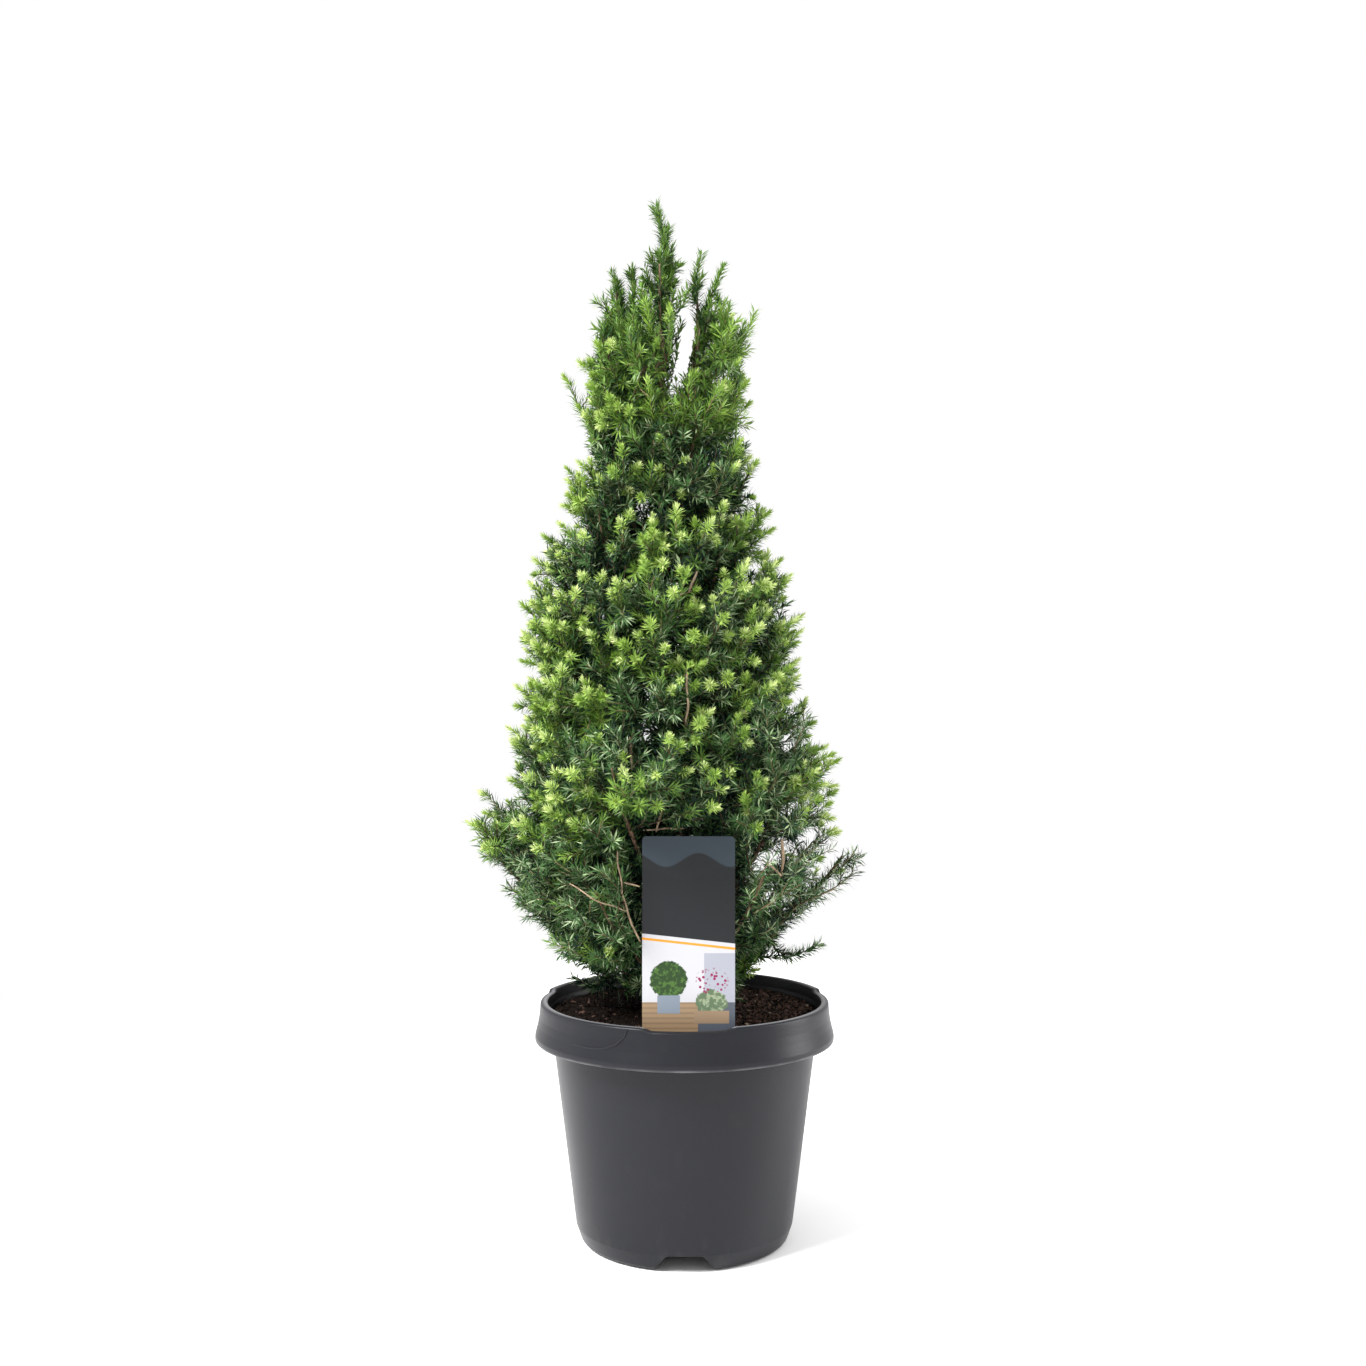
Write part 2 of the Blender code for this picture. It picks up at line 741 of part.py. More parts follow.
def make_mass(limb, index, plans, space, parts, clearances, materials):
    """One mass of foliage: its stem, its core, its twigs and its sprays, fused into one solid."""
    pieces = bpy.data.collections.new("pieces")
    bpy.context.scene.collection.children.link(pieces)
    first = 0.0 if limb.name == "leader" else BOUGH_SHARE
    stem = [limb.stem_start()] + limb.samples(first, 1.0, STEM_STEPS)[1:]
    thickness = LEADER_RADIUS if limb.name == "leader" else STEM_RADIUS
    radii = [thickness * (1 - 0.6 * i / (STEM_STEPS - 1)) for i in range(STEM_STEPS)]
    nodes = stem[1:]
    mass = tapered_limb(f"foliage_{limb.name}", stem, radii, 6, parts)
    mass.data.materials.append(materials["foliage"])
    if limb.name != "leader":
        mesh_object("core", core_shape(limb, index, space), pieces)
    for tip, direction, size in sorted(plans, key=lambda plan: (plan[0] - limb.end).length):
        if limb.name == "leader":
            size *= 0.7
        blade = spray_shape(tip, direction, size)
        root = tip - direction * SPRAY_LENGTH * size * 0.9
        node = nearest_node(nodes, root, direction)
        twig_end = root + direction * SPRAY_LENGTH * size * 0.35
        twig_points = [node.lerp(twig_end, i / 6) for i in range(7)]
        checked = [point.co for point in blade.verts] + twig_points
        if not space.holds(index, checked, LEAF_ROOM):
            blade.free()
            continue
        mesh_object("spray", blade, pieces)
        mesh_object("twig", twig_shape(node, twig_end, TWIG_RADIUS), pieces)
        nodes.append(root)
    boolean_all(mass, "UNION", pieces)
    boolean_all(mass, "DIFFERENCE", clearances)
    fused = evaluated_mesh(mass)
    mass.modifiers.clear()
    mass.data = fused
    drop_scraps(mass)
    for piece in list(pieces.objects):
        bpy.data.objects.remove(piece)
    bpy.data.collections.remove(pieces)


def trunk_points(extra, count):
    """The trunk's line and radii, closer together at the flare."""
    heights = [
        TRUNK_FOOT + (TRUNK_TIP - TRUNK_FOOT) * (i / count) ** 1.7 for i in range(count + 1)
    ]
    points = [trunk_line(height) for height in heights]
    points[1].x, points[1].y = points[0].x, points[0].y
    return points, [trunk_radius(height) + extra for height in heights]


def make_trunk(parts, clearances, materials):
    points, radii = trunk_points(0.0, 11)
    trunk = tapered_limb("trunk", points, radii, 10, parts)
    trunk.data.materials.append(materials["bark"])
    points, radii = trunk_points(GAP * 1.15, 11)
    return helper(tapered_limb("trunk_room", points, radii, 10, clearances))


def make_bough(limb, trunk_room, parts, clearances, materials):
    points = limb.samples(0.0, BOUGH_SHARE, 5)
    radii = [limb.radius * (1 - (1 - BOUGH_THINNING) * i / 4) for i in range(5)]
    bough = tapered_limb(f"bough_{limb.name}", points, radii, 6, parts)
    bough.data.materials.append(materials["bark"])
    boolean(bough, "DIFFERENCE", trunk_room)
    wider = [radius + GAP * 1.15 for radius in radii]
    helper(tapered_limb(f"bough_room_{limb.name}", points, wider, 6, clearances))


def shade_round_pieces(parts):
    for item in parts.objects:
        if item.type == "MESH" and not item.name.startswith("foliage"):
            item.data.shade_smooth()
            item.data.set_sharp_from_angle(angle=math.radians(35))


def main():
    clear_scene()
    parts = new_collection("potted_spruce")
    cutters = new_collection("cutters")
    clearances = new_collection("clearances")
    materials = make_materials()
    make_pot(parts, cutters, materials)
    make_soil(parts, clearances, materials)
    make_card(parts, materials)
    trunk_room = make_trunk(parts, clearances, materials)
    limbs = plan_limbs()
    space = Space(limbs)
    plans = plan_sprays(limbs, space)
    for limb in limbs[:-1]:
        make_bough(limb, trunk_room, parts, clearances, materials)
    for index, limb in enumerate(limbs):
        make_mass(limb, index, plans[index], space, parts, clearances, materials)
    shade_round_pieces(parts)
    for item in [*parts.objects, *cutters.objects, *clearances.objects]:
        item.location.x += POT_OFF_MIDDLE


main()
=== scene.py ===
"""Dressed model of a potted dwarf white spruce: twigs, needles and new growth on the limbs of the CAD
model, a moulded pot with potting soil, and a stick-in card. Metres, +Z up, in the frame of the CAD model.
Everything is worked out round the pot's axis and moved onto it where a mesh is made."""

import functools
import math
import random

import bmesh
import bpy
import numpy as np
from mathutils import Matrix, Vector, noise


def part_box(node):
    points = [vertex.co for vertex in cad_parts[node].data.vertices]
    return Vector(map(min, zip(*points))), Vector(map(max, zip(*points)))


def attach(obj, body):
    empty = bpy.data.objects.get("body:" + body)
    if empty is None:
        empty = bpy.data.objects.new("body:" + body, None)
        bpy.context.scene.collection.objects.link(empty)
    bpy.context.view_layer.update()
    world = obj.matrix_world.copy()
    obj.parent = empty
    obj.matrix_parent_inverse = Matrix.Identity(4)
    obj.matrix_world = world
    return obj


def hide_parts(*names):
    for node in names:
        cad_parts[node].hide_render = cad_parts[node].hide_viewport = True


bl_info = {
    "name": "Potted dwarf spruce",
    "version": (1, 0, 0),
    "blender": (4, 5, 0),
    "location": "View3D > Sidebar > Spruce",
    "description": "Builds a potted dwarf white spruce piece by piece",
    "category": "Add Mesh",
}

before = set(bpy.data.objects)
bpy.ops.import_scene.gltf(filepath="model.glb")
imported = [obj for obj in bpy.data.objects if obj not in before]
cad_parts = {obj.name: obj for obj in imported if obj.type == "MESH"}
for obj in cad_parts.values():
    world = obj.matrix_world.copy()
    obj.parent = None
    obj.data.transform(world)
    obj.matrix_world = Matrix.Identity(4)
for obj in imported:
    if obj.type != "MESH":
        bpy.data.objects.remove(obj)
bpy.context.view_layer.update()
POT_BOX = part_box("pot")
POT_AXIS = np.array([(POT_BOX[0].x + POT_BOX[1].x) / 2, (POT_BOX[0].y + POT_BOX[1].y) / 2, 0.0])
MASSES = sorted(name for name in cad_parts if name.startswith("foliage"))
LIMB_NODES = sorted(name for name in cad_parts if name.startswith(("trunk", "bough")))

# The pot and what stands in it
POT_HEIGHT = 0.165
RIM_RADIUS = 0.105
LIP_RADIUS = 0.0962
BODY_TOP_RADIUS = 0.0922
FOOT_RADIUS = 0.0747
POT_WALL = 0.0016
SKIRT_HEIGHT = 0.026
FLOOR_LIFT = 0.0135
DRAIN_RADIUS = 0.004
DRAIN_COUNT = 6
DRAIN_CIRCLE = 0.045
DRAIN_STEPS = 20
NOTCH_HEIGHT = 0.012
POT_STEPS = 256
# Within this radius shoots may come down into the pot
POT_MOUTH = 0.087
# How far the lip stands above the rim's height: in front, how much more behind, and how far it dips
# behind the card. Sides and ease are turns in degrees.
LIP_RISE = 0.0013
LIP_BACK_RISE = 0.0023
LIP_BACK_SIDES = (14.0, 166.0)
LIP_BACK_EASE = 1.5
LIP_DIP = 0.0021
LIP_DIP_SIDES = (-106.5, -70.5)
LIP_DIP_EASE = 4.0
# The lip's rise starts this far below the rim's height, and is whole this much further up
LIP_ROOT = 0.009
LIP_SLOPE = 0.006
# The outside of the rim below its lip: radius, height, and how far the corner is rounded
RIM_OUTSIDE = (
    (LIP_RADIUS + 0.0054, POT_HEIGHT - 0.0052, 0.002),
    (LIP_RADIUS + 0.0059, POT_HEIGHT - 0.0090, 0.004),
    (RIM_RADIUS - 0.0019, POT_HEIGHT - 0.0145, 0.004),
    (RIM_RADIUS - 0.0001, POT_HEIGHT - 0.0215, 0.003),
)
# A moulded bead on the rim's outside: turn in degrees and height along it, and its radius
BEAD = (
    (-111.4, 0.1645),
    (-112.4, 0.1600),
    (-115.5, 0.1548),
    (-120.5, 0.1512),
    (-127.0, 0.1502),
    (-136.0, 0.1506),
)
BEAD_RADIUS = 0.0008
SOIL_TOP = 0.1598
SOIL_EDGE = 0.1585
SOIL_RADIUS = 0.092
SOIL_LUMPS = 0.0011
SOIL_STEPS = 160
SOIL_ROWS = 64
SOIL_HUB = 0.0012
# Room between the soil and the pot's wall
SOIL_ROOM = 0.0003
CARD_PLACE = np.array([0.0026, -0.0815, 0.0])
CARD_WIDTH = 0.0605
CARD_TOP = 0.288
CARD_THICKNESS = 0.0007
CARD_SHOULDER = 0.1585
CARD_STAKE_WIDTH = 0.018
CARD_STAKE_FOOT = 0.112
CARD_CORNER = 0.003

# The trunk
PLANT_TOP = 0.7285
TRUNK_FOOT = 0.1573
TRUNK_TIP = 0.650
TRUNK_RADIUS = 0.0072
TRUNK_TIP_RADIUS = 0.0016
FLARE_RADIUS = 0.0052
FLARE_HEIGHT = 0.007
LEAN = 0.017
LEAN_HEIGHT = 0.30
SWAY = 0.0025

# The crown's outline: height, and reach to the left and to the right of the trunk
OUTLINE = (
    (0.176, 0.050, 0.046),
    (0.200, 0.095, 0.062),
    (0.218, 0.114, 0.080),
    (0.243, 0.123, 0.116),
    (0.268, 0.127, 0.121),
    (0.292, 0.125, 0.116),
    (0.330, 0.114, 0.118),
    (0.355, 0.112, 0.113),
    (0.405, 0.099, 0.099),
    (0.460, 0.099, 0.095),
    (0.480, 0.090, 0.079),
    (0.505, 0.074, 0.078),
    (0.530, 0.067, 0.080),
    (0.580, 0.061, 0.069),
    (0.605, 0.062, 0.070),
    (0.630, 0.056, 0.072),
    (0.655, 0.055, 0.056),
    (0.672, 0.047, 0.040),
    (0.690, 0.016, 0.022),
    (0.705, 0.009, 0.013),
    (PLANT_TOP, 0.004, 0.004),
)

# Where single boughs reach past the outline: turn in degrees, height, how far, spread in height
LOBES = (
    (180, 0.276, 0.022, 0.026),
    (0, 0.264, 0.014, 0.014),
    (258, 0.332, 0.016, 0.030),
)
# How wide a lobe or a hollow is round the trunk, in degrees
LOBE_TURN = 24.0
# How far the crown's outline waves and clumps, as a share of its reach
WAVES = 0.03
CLUMPS = 0.07

# Shoots that stand out by themselves: turn in degrees, height of the tip, reach from the trunk
STRAYS = (
    (180, 0.289, 0.145),
    (176, 0.309, 0.133),
    (185, 0.182, 0.078),
    (1, 0.267, 0.131),
    (-12, 0.2075, 0.097),
    (-8, 0.1985, 0.076),
    (181, 0.489, 0.079),
    (180, 0.600, 0.064),
    (1, 0.652, 0.067),
    (-6, 0.642, 0.047),
    (-3, 0.682, 0.045),
    (4, 0.692, 0.029),
    (181, 0.681, 0.020),
    (177, 0.679, 0.034),
    (183, 0.659, 0.0415),
    (150, 0.694, 0.009),
    (200, 0.680, 0.012),
    (330, 0.684, 0.013),
    (20, 0.697, 0.009),
    (270, 0.690, 0.010),
    (300, 0.705, 0.006),
)

# Tiers of boughs, lowest first: boughs, turn of the first in degrees, height at the trunk, height of
# the tips, and how much of the crown's reach the tips come to
TIERS = (
    (6, 0, 0.181, 0.260, 0.87),
    (5, 36, 0.222, 0.332, 0.84),
    (5, 0, 0.298, 0.422, 0.80),
    (4, 45, 0.385, 0.508, 0.78),
    (3, 60, 0.468, 0.592, 0.72),
    (4, 0, 0.552, 0.674, 0.62),
)
BOUGH_SHARE = 0.36
BOUGH_RADIUS = 0.0034
# Boughs and their stems bow out and down: how far, as a share of their span, and how steeply down
BOUGH_BOW = 0.16
BOUGH_SAG = -0.55
LEADER_BOW = 0.011
STEM_TIP_RADIUS = 0.0008

# Openings that show the sky, seen from the front. One is by the leader, round a line from its foot to its
# head in X and height. The others, to the right, are thin places: X, height and radius.
WINDOW_FOOT = np.array([-0.0042, 0.607])
WINDOW_HEAD = np.array([0.0032, 0.643])
WINDOW_HALF_WIDTH = 0.0056
THIN_PLACES = (
    (0.062, 0.284, 0.0075),
    (0.051, 0.270, 0.0065),
    (0.087, 0.282, 0.0075),
    (0.093, 0.259, 0.0065),
    (0.072, 0.348, 0.0055),
    (0.088, 0.305, 0.0065),
    (0.070, 0.302, 0.0050),
    (0.106, 0.272, 0.0055),
    (0.079, 0.268, 0.0050),
    (0.057, 0.247, 0.0050),
    (0.074, 0.236, 0.0060),
    (0.104, 0.247, 0.0050),
)
# Where few tufts show, seen from the front: X, height and radius
DARK_PLACES = (
    (0.075, 0.255, 0.055),
    (-0.085, 0.240, 0.045),
    (-0.030, 0.352, 0.034),
    (0.058, 0.352, 0.026),
    (0.010, 0.520, 0.020),
    (0.008, 0.565, 0.026),
    (-0.060, 0.200, 0.045),
    (0.045, 0.205, 0.040),
)
# Where the crown is thin and dark all through, seen from the front: X, height and radius, and how often
# its inner shoots and side shoots are left out
AIRY_PLACE = (0.088, 0.258, 0.052)
AIRY_INNER_GAPS = 0.75
AIRY_SIDE_GAPS = 0.45

# The source's sprays, which come first, and the finer shoots that follow them
SEED = 11
SPRAYS = 340
SPRAY_LENGTH = 0.041
GOLDEN_ONE = 0.7548776662466927
GOLDEN_TWO = 0.5698402909980532
GOLDEN_TURN = math.radians(137.50776)
SHOOT_STEPS = 4
# How far back from its tip a shoot bends towards the node it grows from, as a share of its length:
# sprays and inner shoots, and side shoots
BEND_BACK = 0.9
SIDE_BEND_BACK = 0.55
# A twig starts at the node that is nearest, and each metre that a node is less than this far behind the
# shoot counts as this much further away
NODE_BEHIND = 0.004
NODE_COST = 0.8
# Side shoots stand on the last stretch of each spray, shorter towards its tip
SIDE_STRETCH = 0.075
SIDE_LENGTH = 0.023
SIDE_OPENING = (34.0, 64.0)
# Layers of inner shoots: how much of the reach their tips come to, lowest and highest
LAYERS = ((0.76, 0.93), (0.50, 0.72), (0.70, 0.88), (0.30, 0.60))
INNER_LENGTH = 0.030
# How often shoots with tufts gather in clusters, in clusters to the metre: large ones and small ones
CLUSTERS = 24.0
SMALL_CLUSTERS = 61.0
# Needles stand out past the shoots' tips, so the shoots end this far inside the crown's reach
NEEDLE_ROOM = 0.0055
# Hollows in the crown's outline: turn in degrees, height, how deep, spread in height
HOLLOWS = (
    (180, 0.565, 0.011, 0.011),
    (180, 0.551, 0.007, 0.008),
    (180, 0.588, 0.005, 0.007),
    (180, 0.622, 0.004, 0.008),
    (180, 0.308, 0.012, 0.008),
    (180, 0.494, 0.011, 0.012),
    (180, 0.395, 0.006, 0.016),
    (180, 0.255, 0.009, 0.010),
    (180, 0.212, 0.010, 0.010),
    (0, 0.594, 0.007, 0.010),
    (0, 0.545, 0.012, 0.012),
    (0, 0.400, 0.006, 0.020),
    (0, 0.283, 0.006, 0.009),
    (0, 0.213, 0.006, 0.010),
)
# Above this height only single sprays stand round the leader, each with this many side shoots
LOOSE_TOP = 0.660
LOOSE_SIDE_SHOOTS = 2
# Above this height the shoots are closely needled
CLOSE_TOP = LOOSE_TOP - 0.03
# Below this height the sprays that stand out are bare of tufts, with spread needles
LOW_TWIGS = 0.21

# Bare stems that show between the needles: their line in X, Y and Z, their radius, and how far to each
# side of them no needles stand in front
BARE_STEMS = (
    (((0.0012, -0.086, 0.360), (0.0018, -0.090, 0.378)), 0.0008, 0.0014),
    (((0.0024, -0.089, 0.380), (0.0010, -0.091, 0.397)), 0.0007, 0.0012),
    (((-0.0339, -0.086, 0.331), (-0.0352, -0.089, 0.353)), 0.0008, 0.0012),
    (((0.0023, -0.082, 0.446), (0.0081, -0.084, 0.461)), 0.0008, 0.0014),
    (((-0.0140, -0.010, 0.602), (-0.0145, -0.018, 0.630)), 0.0011, 0.0018),
    (((-0.0280, -0.003, 0.582), (-0.0270, -0.020, 0.602)), 0.0008, 0.0014),
    (((0.0037, 0.0, 0.606), (0.0096, 0.0, 0.623), (0.0105, 0.0, 0.640)), 0.0008, 0.0012),
    (((-0.0290, -0.084, 0.220), (-0.0341, -0.086, 0.231), (-0.0402, -0.088, 0.251)), 0.0007, 0.0008),
    (((-0.0402, -0.088, 0.251), (-0.0426, -0.090, 0.269), (-0.0432, -0.090, 0.279)), 0.0006, 0.0009),
    (((-0.0375, -0.090, 0.240), (-0.0593, -0.092, 0.249), (-0.0740, -0.090, 0.258)), 0.0005, 0.0006),
    (((-0.0300, -0.0845, 0.2555), (-0.0389, -0.087, 0.2587)), 0.0006, 0.0008),
    (((-0.0182, -0.078, 0.291), (-0.0145, -0.080, 0.3096)), 0.0007, 0.0010),
    (((-0.0275, -0.079, 0.2916), (-0.0170, -0.077, 0.2920), (0.0003, -0.075, 0.2926)), 0.0006, 0.0009),
    (((0.0504, -0.080, 0.2726), (0.0628, -0.082, 0.2627)), 0.0006, 0.0009),
    (((0.0643, -0.066, 0.2601), (0.0647, -0.070, 0.2852)), 0.0011, 0.0012),
)
# How far the bare stems are bent out of line, how often to the metre, and where in the noise the bends
# along X, Y and Z are read
STEM_CROOK = 0.0012
CROOKS = 90
CROOK_SHIFTS = (0.0, 31.4, 62.8)
# The bark's furrows and lumps to the metre, round the limbs and along them
FURROWS_ACROSS = 420
FURROWS_ALONG = 130
LUMPS_ACROSS = 90
LUMPS_ALONG = 55
# Points along the trunk, each bough and each bare stem
TRUNK_STEPS = 230
LIMB_STEPS = 60
STEM_STEPS = 40
# Radius of the twigs where they branch off, under sprays and under other shoots, and at their tips
SPRAY_TWIG = 0.0009
SHOOT_TWIG = 0.0005
TWIG_TIP = 0.0003

# How the needles open away from a shoot, in degrees, at its first and its last needle
OUTER_OPENING = (74, 44)
SHADED_OPENING = (74, 58)
TOP_OPENING = (64, 42)
AIRY_OPENING = (80, 62)
LOW_TWIG_OPENING = (78, 56)
STEM_OPENING = (74, 60)
LEADER_OPENING = (62, 44)
TUFT_OPENING = (88, 8)
# The share of dark needles that are made pale: partly a real pale bloom, partly painted highlights
BLOOM_AND_SHEEN_INSIDE = 0.05
BLOOM_AND_SHEEN_ON_STEMS = 0.1
BLOOM_AND_SHEEN_OUTSIDE = 0.24
# The share of needles left out in thin places and in front of bare stems
THINNED = 0.6
BARED = 0.85
# Above this share of the crown's height the needles are lit from all sides
SUNLIT = 0.70
# Below this height few needles are fresh
DULL_BELOW = 0.235
# How ready shoots are for a tuft, by their share of the crown's height, and how rare one is elsewhere
HEIGHTS_OF_TUFTS = (0.0, 0.08, 0.2, 0.45, 0.62, 0.78, 1.0)
SHARES_OF_TUFTS = (-0.5, 0.06, 0.56, 0.72, 0.68, 0.18, -0.3)
ODD_TUFTS = 0.02

# The looks of needles and tufts, and how glossy the needles are, in the order of the tones' numbers
# The pale waxy tone is partly the needles' real bloom and partly painted highlights.
NEEDLE_TONES = ("shade", "old", "waxy", "green", "fresh")
NEEDLE_GLOSS = (0.10, 0.22, 0.45, 0.30, 0.35)
SHADE, OLD, WAXY_AND_SHEEN, GREEN, FRESH = range(5)
TUFT_TONES = ("fresh", "tuft", "tuft_pale")
DULL_TUFT, GREEN_TUFT, PALE_TUFT = (0, 1), (1, 1), (1, 2)

# The studio's lights: name, place, size and power
LIGHTS = (
    ("key", (-1.4, -1.1, 2.1), (0.9, 0.9), 135),
    ("left", (-1.7, 0.1, 0.7), (0.7, 1.4), 2),
    ("right", (1.7, 0.1, 0.7), (0.7, 1.4), 26),
)
# The height that the lights are aimed at, on the pot's axis
LIGHTS_AIM = 0.40
# The floor's rings, and its level just under the pot's foot
FLOOR_RADII = (0.02, 0.4, 0.8, 1.2)
FLOOR_STEPS = 96
FLOOR_LEVEL = -0.0002
# The camera's distance from the pot's axis, how far it stands to the left of it, and its height
CAMERA_DISTANCE = 1.054
CAMERA_ASIDE = 0.00106
CAMERA_HEIGHT = 0.374
# The picture's width, the focal length and the upward shift, in pixels
PICTURE_WIDTH = 1366
FOCAL_LENGTH = 1493
UPWARD_SHIFT = 21.2
SENSOR_WIDTH = 36


class SpruceSizes(bpy.types.PropertyGroup):
    """Counts and sizes that a user would change"""

    side_shoots: bpy.props.IntProperty(
        name="Side shoots", description="Side shoots on each spray", default=11, min=0
    )
    inner_shoots: bpy.props.IntProperty(
        name="Inner shoots", description="Shaded shoots inside the crown", default=2600, min=0
    )
    needle_length: bpy.props.FloatProperty(
        name="Needle length", description="Length of a full-grown needle", default=0.0094,
        unit="LENGTH",
    )
    needle_width: bpy.props.FloatProperty(
        name="Needle width", description="Width of a full-grown needle", default=0.0010,
        unit="LENGTH",
    )
    needles_per_metre: bpy.props.FloatProperty(
        name="Needles per metre", description="Needles along a metre of shoot", default=2500
    )
    tuft_needles: bpy.props.IntProperty(
        name="Needles in a tuft", description="Needles in each tuft of new growth", default=62
    )
    bark_relief: bpy.props.FloatProperty(
        name="Bark relief", description="Depth of the bark's furrows", default=0.0005,
        unit="LENGTH",
    )
    soil_chips: bpy.props.IntProperty(
        name="Soil chips", description="Loose crumbs and bark chips on the soil", default=5200
    )


def colour(name, description, value):
    """A colour that a user would change, given as linear red, green and blue."""
    return bpy.props.FloatVectorProperty(
        name=name, description=description, default=value, subtype="COLOR", size=3, min=0, max=1
    )


class SpruceColours(bpy.types.PropertyGroup):
    """Colours that a user would change"""

    shade: colour("Shaded needles", "Needles deep in the crown", (0.008, 0.022, 0.013))
    old: colour("Old needles", "Needles of earlier years", (0.041, 0.098, 0.027))
    # Waxy needles: partly the real pale bloom, partly painted highlights dealt out at random among dark
    # needles
    waxy: colour("Waxy needles", "Old needles with a pale bloom", (0.240, 0.320, 0.160))
    green: colour("Green needles", "Needles of last year", (0.104, 0.200, 0.031))
    fresh: colour("Fresh needles", "Needles of the grown-out new shoots", (0.185, 0.315, 0.044))
    tuft: colour("New growth", "Needles of the opening buds", (0.310, 0.450, 0.090))
    tuft_pale: colour("Pale new growth", "Palest needles of the buds", (0.580, 0.680, 0.280))
    bark: colour("Bark", "Bark of trunk and boughs", (0.130, 0.078, 0.048))
    stem: colour("Bare stems", "Bark of the stems that show", (0.340, 0.245, 0.160))
    twig: colour("Twigs", "Bark of the inner twigs", (0.060, 0.040, 0.022))
    young_twig: colour("Young twigs", "Bark of last year's shoots", (0.170, 0.125, 0.060))
    pot: colour("Pot", "Moulded plastic of the pot", (0.0105, 0.0110, 0.0140))
    soil: colour("Soil", "Moist potting soil", (0.0055, 0.0036, 0.0028))
    chip: colour("Bark chips", "Reddish chips in the soil", (0.060, 0.034, 0.025))
    fibre: colour("Pale crumbs", "Pale crumbs in the soil", (0.230, 0.170, 0.120))
    card: colour("Card", "Ground colour of the card", (0.012, 0.013, 0.015))
    card_slate: colour("Card, slate", "Paler area of the card", (0.030, 0.041, 0.052))
    card_band: colour("Card, band", "Coloured band on the card", (0.600, 0.230, 0.020))
    floor: colour("Floor", "Pale studio floor", (0.960, 0.960, 0.960))


# Growth, by the rule of the CAD source


def trunk_line(height):
    """The trunk's own line: it leans to the left and then stands, with a slight sway."""
    height = np.asarray(height, float)
    rise = np.clip((height - TRUNK_FOOT) / LEAN_HEIGHT, 0.0, 1.0)
    lean = rise * rise * (3 - 2 * rise)
    sway = np.sin((height - TRUNK_FOOT) * 17.0)
    return np.stack([-LEAN * lean, SWAY * sway, height], axis=-1)


def trunk_radius(height):
    share = (height - TRUNK_FOOT) / (TRUNK_TIP - TRUNK_FOOT)
    taper = TRUNK_RADIUS + (TRUNK_TIP_RADIUS - TRUNK_RADIUS) * share
    return taper + FLARE_RADIUS * np.exp(-(height - TRUNK_FOOT) / FLARE_HEIGHT)


def reach(height, turn):
    """How far the crown reaches from the trunk's line at a height, to a side given in radians."""
    heights, left, right = zip(*OUTLINE)
    to_left = float(np.interp(height, heights, left))
    to_right = float(np.interp(height, heights, right))
    waves = WAVES * math.sin(3 * turn + 40 * height) + WAVES * math.sin(5 * turn - 23 * height)
    far = (to_left + to_right) / 2 * (1 + waves * abs(math.sin(turn)))
    far += (to_right - to_left) / 2 * math.cos(turn)
    for lobe_turn, lobe_height, lobe_reach, spread in LOBES:
        away = math.degrees(turn) - lobe_turn
        away = abs((away + 180) % 360 - 180) / LOBE_TURN
        far += lobe_reach * math.exp(-(away**2) - ((height - lobe_height) / spread) ** 2)
    return far


def edge(height, turn):
    """Where the shoots end: a little inside the crown's reach, with hollows and clumps."""
    far = reach(height, turn)
    far -= min(NEEDLE_ROOM, 0.12 * far)
    for side, level, depth, spread in HOLLOWS:
        away = abs((math.degrees(turn) - side + 180) % 360 - 180) / LOBE_TURN
        far -= depth * math.exp(-(away**2) - ((height - level) / spread) ** 2)
    clumps = noise.noise(Vector((math.cos(turn) * 2.6, math.sin(turn) * 2.6, height * 26)))
    return far * (1 + CLUMPS * clumps)


def crown_point(height, turn, distance):
    return trunk_line(height) + np.array([math.cos(turn), math.sin(turn), 0.0]) * distance


def along(start, bend, end, share):
    """Points of the curve that leaves start towards bend and arrives at end."""
    share = np.asarray(share, float)[..., None]
    return start * (1 - share) ** 2 + bend * 2 * share * (1 - share) + end * share**2


class Limb:
    """A bough and the stem that goes on from it through its mass of foliage."""

    def __init__(self, name, turn, root_height, tip_height, share):
        self.name = name
        self.start = trunk_line(root_height)
        self.end = crown_point(tip_height, turn, reach(tip_height, turn) * share)
        outward = np.array([math.cos(turn), math.sin(turn), BOUGH_SAG])
        span = np.linalg.norm(self.end - self.start)
        self.bend = (self.start + self.end) / 2 + outward * span * BOUGH_BOW
        self.radius = BOUGH_RADIUS * (1 - 0.55 * (root_height - TRUNK_FOOT) / 0.5)
        self.first = BOUGH_SHARE

    def points(self, first, last, count):
        return along(self.start, self.bend, self.end, np.linspace(first, last, count))


class Leader(Limb):
    """The stem above the trunk's tip, which carries the topmost mass."""

    def __init__(self):
        self.name = "leader"
        self.start = trunk_line(TRUNK_TIP)
        self.end = trunk_line(PLANT_TOP - 0.010) + np.array([-0.001, 0.0, 0.0])
        self.bend = (self.start + self.end) / 2 + np.array([LEADER_BOW, 0.0, 0.0])
        self.radius = TRUNK_TIP_RADIUS
        self.first = 0.0


def plan_limbs():
    limbs = []
    for tier, (count, first, root_height, tip_height, share) in enumerate(TIERS, start=1):
        for index in range(count):
            turn = math.radians(first) + math.tau * index / count
            lift = 0.008 * math.sin(2.4 * index + tier)
            name = f"{tier}_{index + 1}"
            limbs.append(Limb(name, turn, root_height + lift, tip_height + lift, share))
    limbs.append(Leader())
    return limbs


